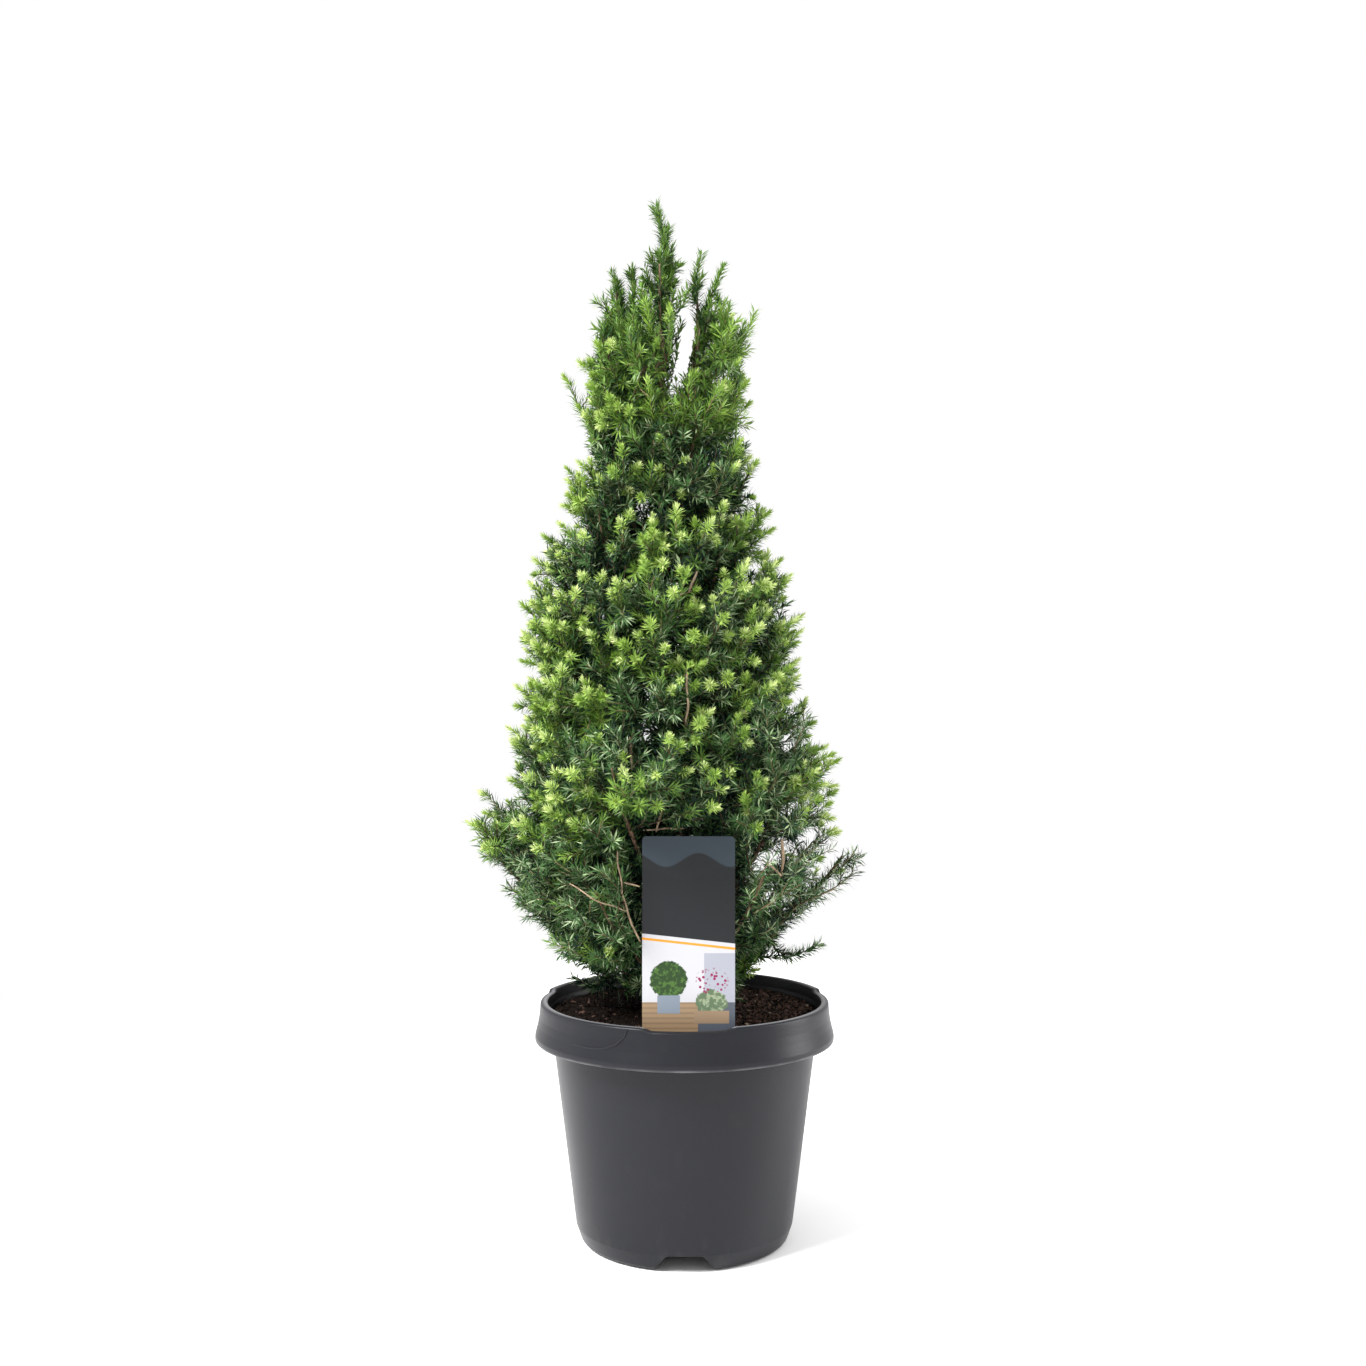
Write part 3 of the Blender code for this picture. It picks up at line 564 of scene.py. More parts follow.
def spray_targets(count):
    """Where shoots end on the crown's surface: an even spread that stays even however early it is cut."""
    heights = np.linspace(OUTLINE[0][0], PLANT_TOP, 300)
    girth = np.array([reach(h, 0.0) + reach(h, math.pi) + 0.012 for h in heights])
    share = np.cumsum(girth) / girth.sum()
    for index in range(count):
        height = float(np.interp((0.5 + index * GOLDEN_ONE) % 1, share, heights))
        turn = math.tau * ((0.5 + index * GOLDEN_TWO) % 1)
        yield height, turn, reach(height, turn)


def height_share(height):
    return min(max((height - OUTLINE[0][0]) / (PLANT_TOP - OUTLINE[0][0]), 0.0), 1.0)


def shoot_direction(height, turn, dice, rise_scatter=12, side_scatter=24):
    """Shoots rise more steeply the higher they are, with a little scatter."""
    rise = 18 + 60 * height_share(height) ** 0.8 + dice.uniform(-rise_scatter, rise_scatter)
    rise = math.radians(rise)
    side = turn + math.radians(dice.uniform(-side_scatter, side_scatter))
    return np.array(
        [math.cos(side) * math.cos(rise), math.sin(side) * math.cos(rise), math.sin(rise)]
    )


def seen_from_front(points, low, high):
    """How far points are from a line from low to high, in X and height alone, and how far along it."""
    span = high - low
    offset = points[..., [0, 2]] - low
    share = np.clip((offset @ span) / (span @ span), 0.0, 1.0)
    return np.linalg.norm(offset - share[..., None] * span, axis=-1), share


def in_window(points, half_width):
    """Which points are in front of or behind the sky that shows beside the leader."""
    away, _ = seen_from_front(points, WINDOW_FOOT, WINDOW_HEAD)
    return away < half_width


def in_thin_place(points):
    """Which points are in front of or behind a place where little grows."""
    found = np.zeros(points.shape[:-1], bool)
    for x, z, radius in THIN_PLACES:
        found |= np.hypot(points[..., 0] - x, points[..., 2] - z) < radius
    return found


def in_place(point, place):
    """Whether a point is in front of or behind a round place."""
    x, z, radius = place
    return math.hypot(point[0] - x, point[2] - z) < radius


def in_dark_place(point):
    """Whether few tufts show here."""
    return any(in_place(point, place) for place in DARK_PLACES)


def in_airy_place(point):
    """Whether the crown is thin here."""
    return in_place(point, AIRY_PLACE)


def near_pot_or_card(points, pot_room, card_room):
    """Which points are nearer than there is room for to the pot, the soil or the card."""
    low = points[..., 2] < POT_HEIGHT + pot_room
    low &= np.hypot(points[..., 0], points[..., 1]) > POT_MOUTH - pot_room
    low |= points[..., 2] < SOIL_TOP + pot_room
    beside = np.abs(points[..., 0] - CARD_PLACE[0]) < CARD_WIDTH / 2 + card_room
    forward = points[..., 1] < CARD_PLACE[1] + card_room
    below = points[..., 2] < CARD_TOP + card_room
    return low | (beside & forward & below)


def on_bare_stem(points):
    """Which points hide a bare stem from the front."""
    found = np.zeros(points.shape[:-1], bool)
    for line, _, gap in BARE_STEMS:
        for low, high in zip(line, line[1:]):
            low, high = np.array(low), np.array(high)
            away, share = seen_from_front(points, low[[0, 2]], high[[0, 2]])
            found |= (away < gap) & (points[..., 1] < low[1] + share * (high[1] - low[1]))
    return found


class Shoot:
    """A needled shoot, and the bare twig that carries it from the node it branches from."""

    def __init__(self, tip, direction, length, kind, node=None):
        self.tip = tip
        self.direction = direction
        self.length = length
        self.kind = kind
        self.node = node
        self.root = tip - direction * length * (BEND_BACK if node is None else SIDE_BEND_BACK)
        self.place_on_spray = 1.0
        height = float(np.clip(tip[2], OUTLINE[0][0], PLANT_TOP))
        away = (tip - trunk_line(height))[:2]
        turn = math.atan2(away[1], away[0])
        self.depth = float(np.hypot(*away)) / reach(height, turn)
        self.cluster = noise.noise(Vector(tip * CLUSTERS))
        self.cluster += 0.35 * noise.noise(Vector(tip * SMALL_CLUSTERS))
        self.low_twig = tip[2] < LOW_TWIGS and self.depth > 1.0

    def branch_from(self, nodes):
        """Starts the twig at a node that is near and behind it, by the source's rule."""
        spans = self.root - nodes
        behind = np.maximum(0.0, NODE_BEHIND - spans @ self.direction)
        cost = np.linalg.norm(spans, axis=1) + NODE_COST * behind
        self.node = nodes[int(cost.argmin())]

    def points(self, shares):
        """Points at shares of the way from the node to the tip."""
        return along(self.node, self.root, self.tip, shares)

    def run(self):
        """Length along the twig and the shoot."""
        return np.linalg.norm(np.diff(self.points(np.linspace(0, 1, 6)), axis=0), axis=1).sum()

    def inside(self):
        """Whether the tip is inside the crown's edge."""
        height = min(self.tip[2], PLANT_TOP)
        away = (self.tip - trunk_line(height))[:2]
        return np.hypot(*away) < max(edge(height, math.atan2(away[1], away[0])), 0.006)

    def fits(self):
        """Whether the shoot stays clear of the pot, the card and the openings."""
        points = self.points(np.linspace(0.25, 1.0, 7))
        if near_pot_or_card(points, pot_room=0.004, card_room=0.005).any():
            return False
        if in_window(points, WINDOW_HALF_WIDTH).any():
            return False
        return self.kind == "spray" or not in_thin_place(points).any()

    def side_shoots(self, count, dice):
        """Side shoots in a spiral round the spray, shorter towards its tip."""
        run = self.run()
        first = max(1 - SIDE_STRETCH / run, 0.15)
        turn = dice.uniform(0, math.tau)
        slimness = 1 - 0.42 * height_share(self.tip[2])
        narrow = 0.55 if self.tip[2] > LOOSE_TOP else 1.0
        for number in range(count):
            progress = (number + dice.uniform(0.1, 0.9)) / count
            share = first + (0.96 - first) * progress
            node, beyond = self.points([share, share + 0.02])
            ahead = unit(beyond - node)
            side, other = across(ahead)
            turn += GOLDEN_TURN
            opening = math.radians(dice.uniform(*SIDE_OPENING)) * narrow
            out = side * math.cos(turn) + other * math.sin(turn)
            direction = ahead * math.cos(opening) + out * math.sin(opening)
            length = SIDE_LENGTH * slimness * (1.15 - 0.62 * progress) * dice.uniform(0.75, 1.2)
            direction = unit(direction + np.array([0.0, 0.0, 0.12]))
            shoot = Shoot(node + direction * length, direction, length, "side", node)
            shoot.place_on_spray = progress
            shoot.cluster = self.cluster + dice.uniform(-0.12, 0.12)
            yield shoot


class Crown:
    """Every shoot of the crown, listed by the mass that it belongs to."""

    def __init__(self, side_shoots, inner_shoots):
        self.limbs = plan_limbs()
        self.stems = np.array([limb.points(limb.first, 1.0, 12) for limb in self.limbs])
        self.shoots = [[] for _ in self.limbs]
        self.side_dice = random.Random(SEED + 6)
        planned = self.plan(inner_shoots)
        for index, limb in enumerate(self.limbs):
            self.grow(index, limb, planned[index], side_shoots)

    def owner(self, point):
        """The mass whose stem is nearest."""
        spans = np.linalg.norm(self.stems - point, axis=2).min(axis=1)
        return int(spans.argmin())

    def plan(self, inner_shoots):
        """Sprays and inner shoots, each given to the mass whose stem is nearest."""
        dice = random.Random(SEED)
        planned = [[] for _ in self.limbs]
        strays = [(height, math.radians(turn), far) for turn, height, far in STRAYS]
        main = strays + list(spray_targets(SPRAYS))
        for number, (height, turn, far) in enumerate(main):
            share = dice.uniform(0.95, 1.04)
            direction = shoot_direction(height, turn, dice)
            length = SPRAY_LENGTH * dice.uniform(0.85, 1.1)
            if number >= len(STRAYS):
                if height > LOOSE_TOP:
                    continue
                far = edge(height, turn)
            tip = crown_point(height, turn, far * min(share, 1.0))
            planned[self.owner(tip)].append(Shoot(tip, direction, length, "spray"))
        leader = self.limbs[-1]
        top = np.array([leader.end[0] - 0.002, leader.end[1], PLANT_TOP - 0.002])
        upward = unit(np.array([-0.20, 0.0, 1.0]))
        planned[-1].append(Shoot(top, upward, SPRAY_LENGTH * 0.8, "spray"))
        targets = list(spray_targets(SPRAYS + inner_shoots))[SPRAYS:]
        for index, (height, turn, _) in enumerate(targets):
            depth = dice.uniform(*LAYERS[index % len(LAYERS)])
            if height > LOOSE_TOP:
                continue
            tip = crown_point(height, turn, edge(height, turn) * depth)
            if in_airy_place(tip) and dice.uniform(0, 1) < AIRY_INNER_GAPS:
                continue
            direction = shoot_direction(height, turn, dice, 26, 55)
            slimness = 1 - 0.35 * height_share(height)
            length = INNER_LENGTH * slimness * dice.uniform(0.7, 1.25)
            planned[self.owner(tip)].append(Shoot(tip, direction, length, "inner"))
        return planned

    def grow(self, index, limb, planned, side_shoots):
        """Joins a mass's shoots to its stem and to each other, and adds the sprays' side shoots."""
        nodes = limb.points(limb.first, 1.0, 7)[1:]
        planned.sort(key=lambda shoot: (shoot.kind == "inner", np.linalg.norm(shoot.tip - limb.end)))
        for shoot in planned:
            shoot.branch_from(nodes)
            if not shoot.fits():
                continue
            self.shoots[index].append(shoot)
            nodes = np.vstack([nodes, shoot.points([0.45, 0.65, 0.85])])
            if shoot.kind == "spray":
                count = round(side_shoots * (1 - 0.55 * height_share(shoot.tip[2]) ** 2))
                if shoot.tip[2] > LOOSE_TOP:
                    count = LOOSE_SIDE_SHOOTS
                for side in shoot.side_shoots(count, self.side_dice):
                    if in_airy_place(side.tip) and self.side_dice.uniform(0, 1) < AIRY_SIDE_GAPS:
                        continue
                    if side.inside() and side.fits():
                        self.shoots[index].append(side)


@functools.lru_cache(maxsize=1)
def grown_crown(side_shoots, inner_shoots):
    return Crown(side_shoots, inner_shoots)


def crown(sizes):
    """The same crown for every piece, worked out once."""
    return grown_crown(sizes.side_shoots, sizes.inner_shoots)


def tier_of(limb):
    """The tier a limb belongs to; the leader goes with the topmost."""
    return len(TIERS) if limb.name == "leader" else int(limb.name[0])


# Meshes made from arrays


def mesh_piece(name, points, faces, materials, tones=None, smooth=False):
    """A mesh object from arrays of points and faces, moved onto the pot's axis."""
    mesh = bpy.data.meshes.new(name)
    mesh.vertices.add(len(points))
    mesh.vertices.foreach_set("co", (points + POT_AXIS).astype(np.float32).ravel())
    mesh.loops.add(faces.size)
    mesh.loops.foreach_set("vertex_index", faces.astype(np.int32).ravel())
    mesh.polygons.add(len(faces))
    mesh.polygons.foreach_set("loop_start", np.arange(0, faces.size, faces.shape[1], dtype=np.int32))
    for material in materials:
        mesh.materials.append(material)
    if tones is not None:
        mesh.polygons.foreach_set("material_index", tones.astype(np.int32))
    mesh.polygons.foreach_set("use_smooth", np.full(len(faces), smooth))
    mesh.update(calc_edges=True)
    mesh.validate()
    item = bpy.data.objects.new(name, mesh)
    bpy.context.scene.collection.objects.link(item)
    return item


def settle(item, nodes):
    """Puts a finished piece on the part's one body, in the place of the CAD nodes it stands for."""
    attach(item, "root")
    if nodes:
        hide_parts(*nodes)


def unit(vectors):
    return vectors / np.maximum(np.linalg.norm(vectors, axis=-1, keepdims=True), 1e-12)


def across(directions):
    """Two directions square to each given one and to each other."""
    guide = np.where(np.abs(directions[..., 2:]) > 0.9, [1.0, 0.0, 0.0], [0.0, 0.0, 1.0])
    first = unit(np.cross(directions, guide))
    return first, np.cross(directions, first)


def tubes(lines, radii, sides):
    """Round tubes along many lines at once: lines of K points each, with a radius at each point."""
    count, steps, _ = lines.shape
    ahead = unit(np.gradient(lines, axis=1))
    guide = unit(lines[:, -1] - lines[:, 0])
    first = across(guide)[0][:, None, :]
    first = unit(first - (first * ahead).sum(-1, keepdims=True) * ahead)
    second = np.cross(ahead, first)
    turns = np.arange(sides) * math.tau / sides
    ring = first[:, :, None] * np.cos(turns)[:, None] + second[:, :, None] * np.sin(turns)[:, None]
    points = lines[:, :, None] + ring * radii[:, :, None, None]
    return points.reshape(-1, 3), tube_faces(count, steps, sides), ring.reshape(-1, 3)


def tube_faces(count, steps, sides):
    """Triangles of tubes that are closed at both ends."""
    here = np.arange(steps - 1)[:, None] * sides + np.arange(sides)[None, :]
    beside = np.arange(steps - 1)[:, None] * sides + (np.arange(sides)[None, :] + 1) % sides
    wall = np.stack(
        [
            np.stack([here, beside, beside + sides], axis=-1),
            np.stack([here, beside + sides, here + sides], axis=-1),
        ]
    ).reshape(-1, 3)
    fan = np.array([[0, side + 1, side] for side in range(1, sides - 1)])
    last = fan[:, ::-1] + (steps - 1) * sides
    one = np.vstack([wall, fan, last])
    return (one[None] + (np.arange(count) * steps * sides)[:, None, None]).reshape(-1, 3)


# Looks

# A Mix node's sockets for colours, by number, because its other sockets have the same names
MIX_FIRST, MIX_SECOND, MIX_RESULT = 6, 7, 2


class Value:
    """A socket's value, on which arithmetic adds Math nodes."""

    def __init__(self, look, socket):
        self.look = look
        self.socket = socket

    def maths(self, operation, *values, clamp=False):
        settings = {"operation": operation, "use_clamp": clamp}
        return self.look.node("ShaderNodeMath", settings, dict(enumerate(values)))

    def __add__(self, other):
        return self.maths("ADD", self, other)

    def __radd__(self, other):
        return self.maths("ADD", other, self)

    def __sub__(self, other):
        return self.maths("SUBTRACT", self, other)

    def __rsub__(self, other):
        return self.maths("SUBTRACT", other, self)

    def __mul__(self, other):
        return self.maths("MULTIPLY", self, other)

    def __rmul__(self, other):
        return self.maths("MULTIPLY", other, self)

    def __pow__(self, other):
        return self.maths("POWER", self, other)

    def __abs__(self):
        return self.maths("ABSOLUTE", self)

    def above(self, level, softness=0.0002):
        """0 up to a level and 1 above it, with a soft step between."""
        return self.maths("DIVIDE", self - level, softness, clamp=True)

    def below(self, level, softness=0.0002):
        """0 down to a level and 1 below it, with a soft step between."""
        return self.maths("DIVIDE", level - self, softness, clamp=True)

    def root(self):
        return self.maths("SQRT", self)


class Look:
    """A material built from a Principled shader, and the nodes that feed it."""

    def __init__(self, name, base, roughness, **constants):
        self.material = bpy.data.materials.new(name)
        self.material.use_nodes = True
        self.tree = self.material.node_tree
        self.shader = self.tree.nodes["Principled BSDF"]
        self.set(**{"Base Color": base, "Roughness": roughness})
        self.set(**{word.replace("_", " "): value for word, value in constants.items()})

    def plug(self, socket, value):
        """Links a value to a socket, or sets the socket to a number, a vector or a colour."""
        if isinstance(value, Value):
            self.tree.links.new(value.socket, socket)
            return
        if isinstance(value, tuple) and len(value) < len(socket.default_value):
            value = (*value, 1.0)
        socket.default_value = value

    def set(self, **values):
        """Sets or links sockets of the shader."""
        for word, value in values.items():
            self.plug(self.shader.inputs[word], value)

    def node(self, kind, settings=None, inputs=None, output=0):
        """Any node: its settings are made first, then the values or links of its sockets."""
        made = self.tree.nodes.new(kind)
        for word, value in (settings or {}).items():
            setattr(made, word, value)
        for place, value in (inputs or {}).items():
            self.plug(made.inputs[place], value)
        return Value(self, made.outputs[output])

    def coordinates(self):
        return self.node("ShaderNodeTexCoord", output="Object")

    def parts(self, vector):
        """The three coordinates of a vector."""
        made = self.node("ShaderNodeSeparateXYZ", inputs={0: vector}).socket.node
        return [Value(self, output) for output in made.outputs]

    def stretched(self, vector, scale):
        settings = {"operation": "MULTIPLY"}
        return self.node("ShaderNodeVectorMath", settings, {0: vector, 1: scale})

    def grain(self, vector, scale, detail=3.0, roughness=0.55):
        inputs = {"Vector": vector, "Scale": scale, "Detail": detail, "Roughness": roughness}
        return self.node("ShaderNodeTexNoise", {}, inputs, "Fac")

    def cells(self, vector, scale):
        inputs = {"Vector": vector, "Scale": scale}
        return self.node("ShaderNodeTexVoronoi", {}, inputs, "Distance")

    def blend(self, factor, first, second):
        """A colour between two colours."""
        inputs = {"Factor": factor, MIX_FIRST: first, MIX_SECOND: second}
        return self.node("ShaderNodeMix", {"data_type": "RGBA"}, inputs, MIX_RESULT)

    def bump(self, height, distance, strength=1.0):
        inputs = {"Height": height, "Distance": distance, "Strength": strength}
        self.set(Normal=self.node("ShaderNodeBump", {}, inputs, "Normal"))


def darker(value, share):
    return tuple(channel * share for channel in value)


def plain_look(name, base, roughness, **constants):
    """A look for small things dealt out by spray, whose colours differ from piece to piece."""
    return Look(name, tuple(base), roughness, **constants).material


def bark_look(name, base_colour):
    bark = tuple(base_colour)
    look = Look(name, bark, 0.85, Specular_IOR_Level=0.25)
    place = look.coordinates()
    furrows = look.grain(look.stretched(place, (1.0, 1.0, 0.25)), 420, 4)
    patches = look.grain(place, 60, 3)
    scales = look.cells(look.stretched(place, (1.0, 1.0, 0.5)), 500)
    base = look.blend(furrows.above(0.40, 0.20), darker(bark, 0.5), bark)
    base = look.blend(patches.above(0.52, 0.18) * 0.5, base, darker(bark, 1.3))
    look.set(**{"Base Color": base, "Roughness": 0.74 + 0.2 * scales})
    look.bump(furrows * 0.7 + scales * 0.5, 0.0006)
    return look.material


# Pieces of the plant


def relief_line(line, radii, sides, relief, seed):
    """A tube with the furrows and lumps of bark pressed into it."""
    points, faces, outward = tubes(line[None], radii[None], sides)
    deep = np.repeat(np.minimum(radii / TRUNK_RADIUS, 1.0), sides) * relief
    for number, (point, out) in enumerate(zip(points, outward)):
        place = Vector((*point[:2] * FURROWS_ACROSS, point[2] * FURROWS_ALONG + seed))
        fine = noise.noise(place) + 0.5 * noise.noise(place * 2.3)
        lumps = noise.noise(Vector((*point[:2] * LUMPS_ACROSS, point[2] * LUMPS_ALONG + seed)))
        points[number] += out * deep[number] * (fine + 1.2 * lumps)
    return points, faces


def joined(shapes):
    """One array of points and one of faces from several shapes."""
    points, faces, start = [], [], 0
    for shape_points, shape_faces in shapes:
        points.append(shape_points)
        faces.append(shape_faces + start)
        start += len(shape_points)
    return np.vstack(points), np.vstack(faces)


def bare_stem(corners, radius, seed):
    """A crooked line through the corners of a bare stem, and its radii, thinner at both ends."""
    steps = np.linspace(0, len(corners) - 1, STEM_STEPS)
    numbers = range(len(corners))
    line = np.stack([np.interp(steps, numbers, corners[:, axis]) for axis in range(3)], axis=-1)
    for number, point in enumerate(line):
        place = Vector(point) * CROOKS + Vector((0.0, 0.0, seed))
        bend = [noise.noise(place + Vector((shift, 0.0, 0.0))) for shift in CROOK_SHIFTS]
        line[number] += np.array(bend) * STEM_CROOK
    share = np.linspace(0.06, 0.94, STEM_STEPS)
    return line, radius * (0.35 + 0.65 * np.sin(math.pi * share) ** 0.5)


def make_limbs(context):
    sizes, colours = context.scene.spruce_sizes, context.scene.spruce_colours
    grown = crown(sizes)
    share = np.linspace(0, 1, TRUNK_STEPS) ** 1.35
    heights = TRUNK_FOOT - 0.002 + (TRUNK_TIP - TRUNK_FOOT + 0.002) * share
    shapes = [relief_line(trunk_line(heights), trunk_radius(heights), 24, sizes.bark_relief, 0)]
    for index, limb in enumerate(grown.limbs):
        line = limb.points(0.0, 1.0, LIMB_STEPS)
        thin = np.linspace(0, 1, LIMB_STEPS) ** 0.8
        radii = limb.radius * (1 - thin) + STEM_TIP_RADIUS * thin
        shapes.append(relief_line(line, radii, 8, sizes.bark_relief * 0.8, 7 * index + 3))
    wood = sum(len(faces) for _, faces in shapes)
    for index, (line, radius, _) in enumerate(BARE_STEMS):
        line, radii = bare_stem(np.array(line), radius, index)
        shapes.append(relief_line(line, radii, 8, sizes.bark_relief * 1.4, 5 * index + 1))
    points, faces = joined(shapes)
    tones = (np.arange(len(faces)) >= wood).astype(int)
    looks = [bark_look("bark", colours.bark), bark_look("stem_bark", colours.stem)]
    item = mesh_piece("trunk_and_boughs", points, faces, looks, tones, smooth=True)
    settle(item, LIMB_NODES)


def make_twigs(context):
    sizes, colours = context.scene.spruce_sizes, context.scene.spruce_colours
    grown = crown(sizes)
    lines, radii, tones = [], [], []
    dice = np.random.default_rng(SEED + 1)
    for shoots in grown.shoots:
        for shoot in shoots:
            lines.append(shoot.points(np.linspace(0, 0.985, SHOOT_STEPS)))
            thick = SPRAY_TWIG if shoot.kind == "spray" else SHOOT_TWIG
            radii.append(np.linspace(thick * dice.uniform(0.85, 1.15), TWIG_TIP, SHOOT_STEPS))
            tones.append(1 if shoot.kind != "inner" and dice.uniform() < 0.35 else 0)
    lines, radii = np.array(lines), np.array(radii)
    points, faces, _ = tubes(lines, radii, 3)
    looks = [
        plain_look("twig", colours.twig, 0.8, Specular_IOR_Level=0.2),
        plain_look("young_twig", colours.young_twig, 0.7, Specular_IOR_Level=0.3),
    ]
    tones = np.repeat(np.array(tones), len(faces) // len(lines))
    item = mesh_piece("twigs", points, faces, looks, tones, smooth=True)
    settle(item, [])


class Needles:
    """Needles gathered along curves, then made into one mesh with two faces for each."""

    def __init__(self, seed):
        self.dice = np.random.default_rng(seed)
        self.rows = []

    def add(self, start, bend, end, first, count, length, width, opening, tones, bloom_and_sheen=0.0):
        """Needles along a curve from a share of it, first, to its end. Opening is the angle in degrees
        between needle and shoot at the first and last needle, tones the looks at both, and the last
        argument the share of dark needles made pale: partly a real pale bloom, partly painted highlights."""
        phase = self.dice.uniform(0, math.tau)
        self.rows.append(
            (*start, *bend, *end, first, count, length, width, *opening, *tones, phase, bloom_and_sheen)
        )

    def arrays(self):
        """Where each needle stands, points and faces, its length and width, and its tone."""
        rows = np.array(self.rows)
        counts = rows[:, 10].astype(int)
        row = np.repeat(rows, counts, axis=0)
        order = np.arange(len(row)) - np.repeat(np.cumsum(counts) - counts, counts)
        progress = (order + 0.5) / row[:, 10]
        start, bend, end = row[:, 0:3], row[:, 3:6], row[:, 6:9]
        jitter = self.dice.uniform(-0.5, 0.5, len(row)) / row[:, 10]
        share = np.clip(row[:, 9] + (1 - row[:, 9]) * (progress + jitter), 0.0, 1.0)
        share = share[:, None]
        root = start * (1 - share) ** 2 + bend * 2 * share * (1 - share) + end * share**2
        ahead = unit((bend - start) * (1 - share) + (end - bend) * share)
        side, other = across(ahead)
        turn = order * GOLDEN_TURN + self.dice.uniform(-0.5, 0.5, len(row)) + row[:, 17]
        out = side * np.cos(turn)[:, None] + other * np.sin(turn)[:, None]
        spread = self.dice.normal(0, 12, len(row))
        opening = row[:, 13] + (row[:, 14] - row[:, 13]) * progress + spread
        opening = np.radians(np.clip(opening, 2, 95))[:, None]
        pointing = unit(ahead * np.cos(opening) + out * np.sin(opening))
        pointing = unit(pointing + np.array([0.0, 0.0, 0.04]))
        ends = 0.84 + 0.16 * np.sin(math.pi * np.clip(progress * 0.86 + 0.12, 0, 1))
        length = row[:, 11] * self.dice.uniform(0.82, 1.12, len(row)) * ends
        width = row[:, 12] * self.dice.uniform(0.85, 1.15, len(row))
        tone = np.where(progress + self.dice.normal(0, 0.10, len(row)) > 0.55, row[:, 16], row[:, 15])
        # A share of the dark needles takes the pale waxy tone: partly their real bloom, partly painted
        # highlights.
        chance = self.dice.uniform(size=len(row))
        bloom_and_sheen = (chance < row[:, 18]) & (tone < WAXY_AND_SHEEN)
        paler = (chance > 0.70) & (tone == SHADE) & (row[:, 18] > 0)
        tone = np.where(bloom_and_sheen, WAXY_AND_SHEEN, np.where(paler, OLD, tone))
        return root, pointing, unit(np.cross(pointing, out)), ahead, length, width, tone

    def shape(self):
        """The points and faces of the needles that are kept, and the tone of each face."""
        root, pointing, side, ahead, length, width, tone = self.arrays()
        top = np.cross(side, pointing)
        length, width = length[:, None], width[:, None]
        curve = unit(ahead) * length * 0.05
        tip = root + pointing * length + curve
        middle = root + pointing * length * 0.48 - top * width * 0.30
        left, right = middle + side * width * 0.5, middle - side * width * 0.5
        keep = ~near_pot_or_card(tip, pot_room=0.0015, card_room=0.0012)
        keep &= ~in_window(tip, WINDOW_HALF_WIDTH * 0.8)
        keep &= ~(in_thin_place(tip) & (self.dice.uniform(size=len(tip)) < THINNED))
        before_stem = on_bare_stem(tip) | on_bare_stem(middle) | on_bare_stem(root)
        keep &= ~(before_stem & (self.dice.uniform(size=len(tip)) < BARED))
        points = np.stack([root, left, tip, right], axis=1)[keep].reshape(-1, 3)
        first = np.arange(keep.sum())[:, None] * 4
        faces = np.concatenate([first + [0, 1, 2], first + [0, 2, 3]], axis=1).reshape(-1, 3)
        return points, faces, np.repeat(tone[keep], 2)


def needle_tones(shoot, dice):
    """The tones of a shoot's first and last needles, by its depth in the crown and where it is."""
    high = height_share(shoot.tip[2])
    chance = dice.uniform()
    if shoot.depth < 0.55 or shoot.kind == "inner":
        return (OLD, GREEN) if high > SUNLIT else (SHADE, SHADE if chance < 0.6 else OLD)
    if in_airy_place(shoot.tip) or shoot.low_twig:
        return SHADE, SHADE if chance < 0.4 else OLD
    if shoot.tip[2] > LOOSE_TOP:
        return OLD, GREEN
    if high > SUNLIT:
        return (OLD if chance < 0.35 else GREEN), (GREEN if chance < 0.45 else FRESH)
    if shoot.depth < 0.76:
        return (SHADE, OLD) if chance < 0.8 else (OLD, OLD)
    fresh = shoot.cluster + 0.5 * chance - (0.34 if in_dark_place(shoot.tip) else 0.0)
    fresh -= 0.25 if shoot.tip[2] < DULL_BELOW else 0.0
    if fresh < 0.10:
        return SHADE, OLD
    if fresh < 0.38:
        return OLD, OLD if chance < 0.4 else GREEN
    return (OLD, GREEN) if chance < 0.7 else (GREEN, FRESH)


def needle_stand(shoot, count):
    """How many needles a shoot has, how wide against the usual, and how they open, by where it is."""
    opening, width = OUTER_OPENING if shoot.depth > 0.8 else SHADED_OPENING, 1.0
    if shoot.tip[2] > CLOSE_TOP:
        opening, width = TOP_OPENING, 1.2
        count = int(count * (2.0 if shoot.tip[2] > LOOSE_TOP else 1.35))
    elif in_airy_place(shoot.tip):
        opening = AIRY_OPENING
    if shoot.kind == "inner":
        return count // 2, 1.8, opening
    if shoot.low_twig:
        return int(count * 1.9), 1.4, LOW_TWIG_OPENING
    return count, width, opening


def shoot_needles(needles, shoot, sizes, dice):
    """Needles on a shoot and on the end of the twig that carries it."""
    inner = shoot.kind == "inner"
    run = shoot.run()
    needled = min(run, shoot.length * (1.5 if shoot.kind == "spray" else 1.8))
    count = max(int(needled * sizes.needles_per_metre), 8)
    count, width, opening = needle_stand(shoot, count)
    length = sizes.needle_length * (1 - 0.12 * height_share(shoot.tip[2]))
    width *= sizes.needle_width
    tones = needle_tones(shoot, dice)
    bloom_and_sheen = BLOOM_AND_SHEEN_INSIDE if inner else BLOOM_AND_SHEEN_OUTSIDE
    curve = shoot.node, shoot.root, shoot.tip
    needles.add(*curve, 1 - needled / run, count, length, width, opening, tones, bloom_and_sheen)


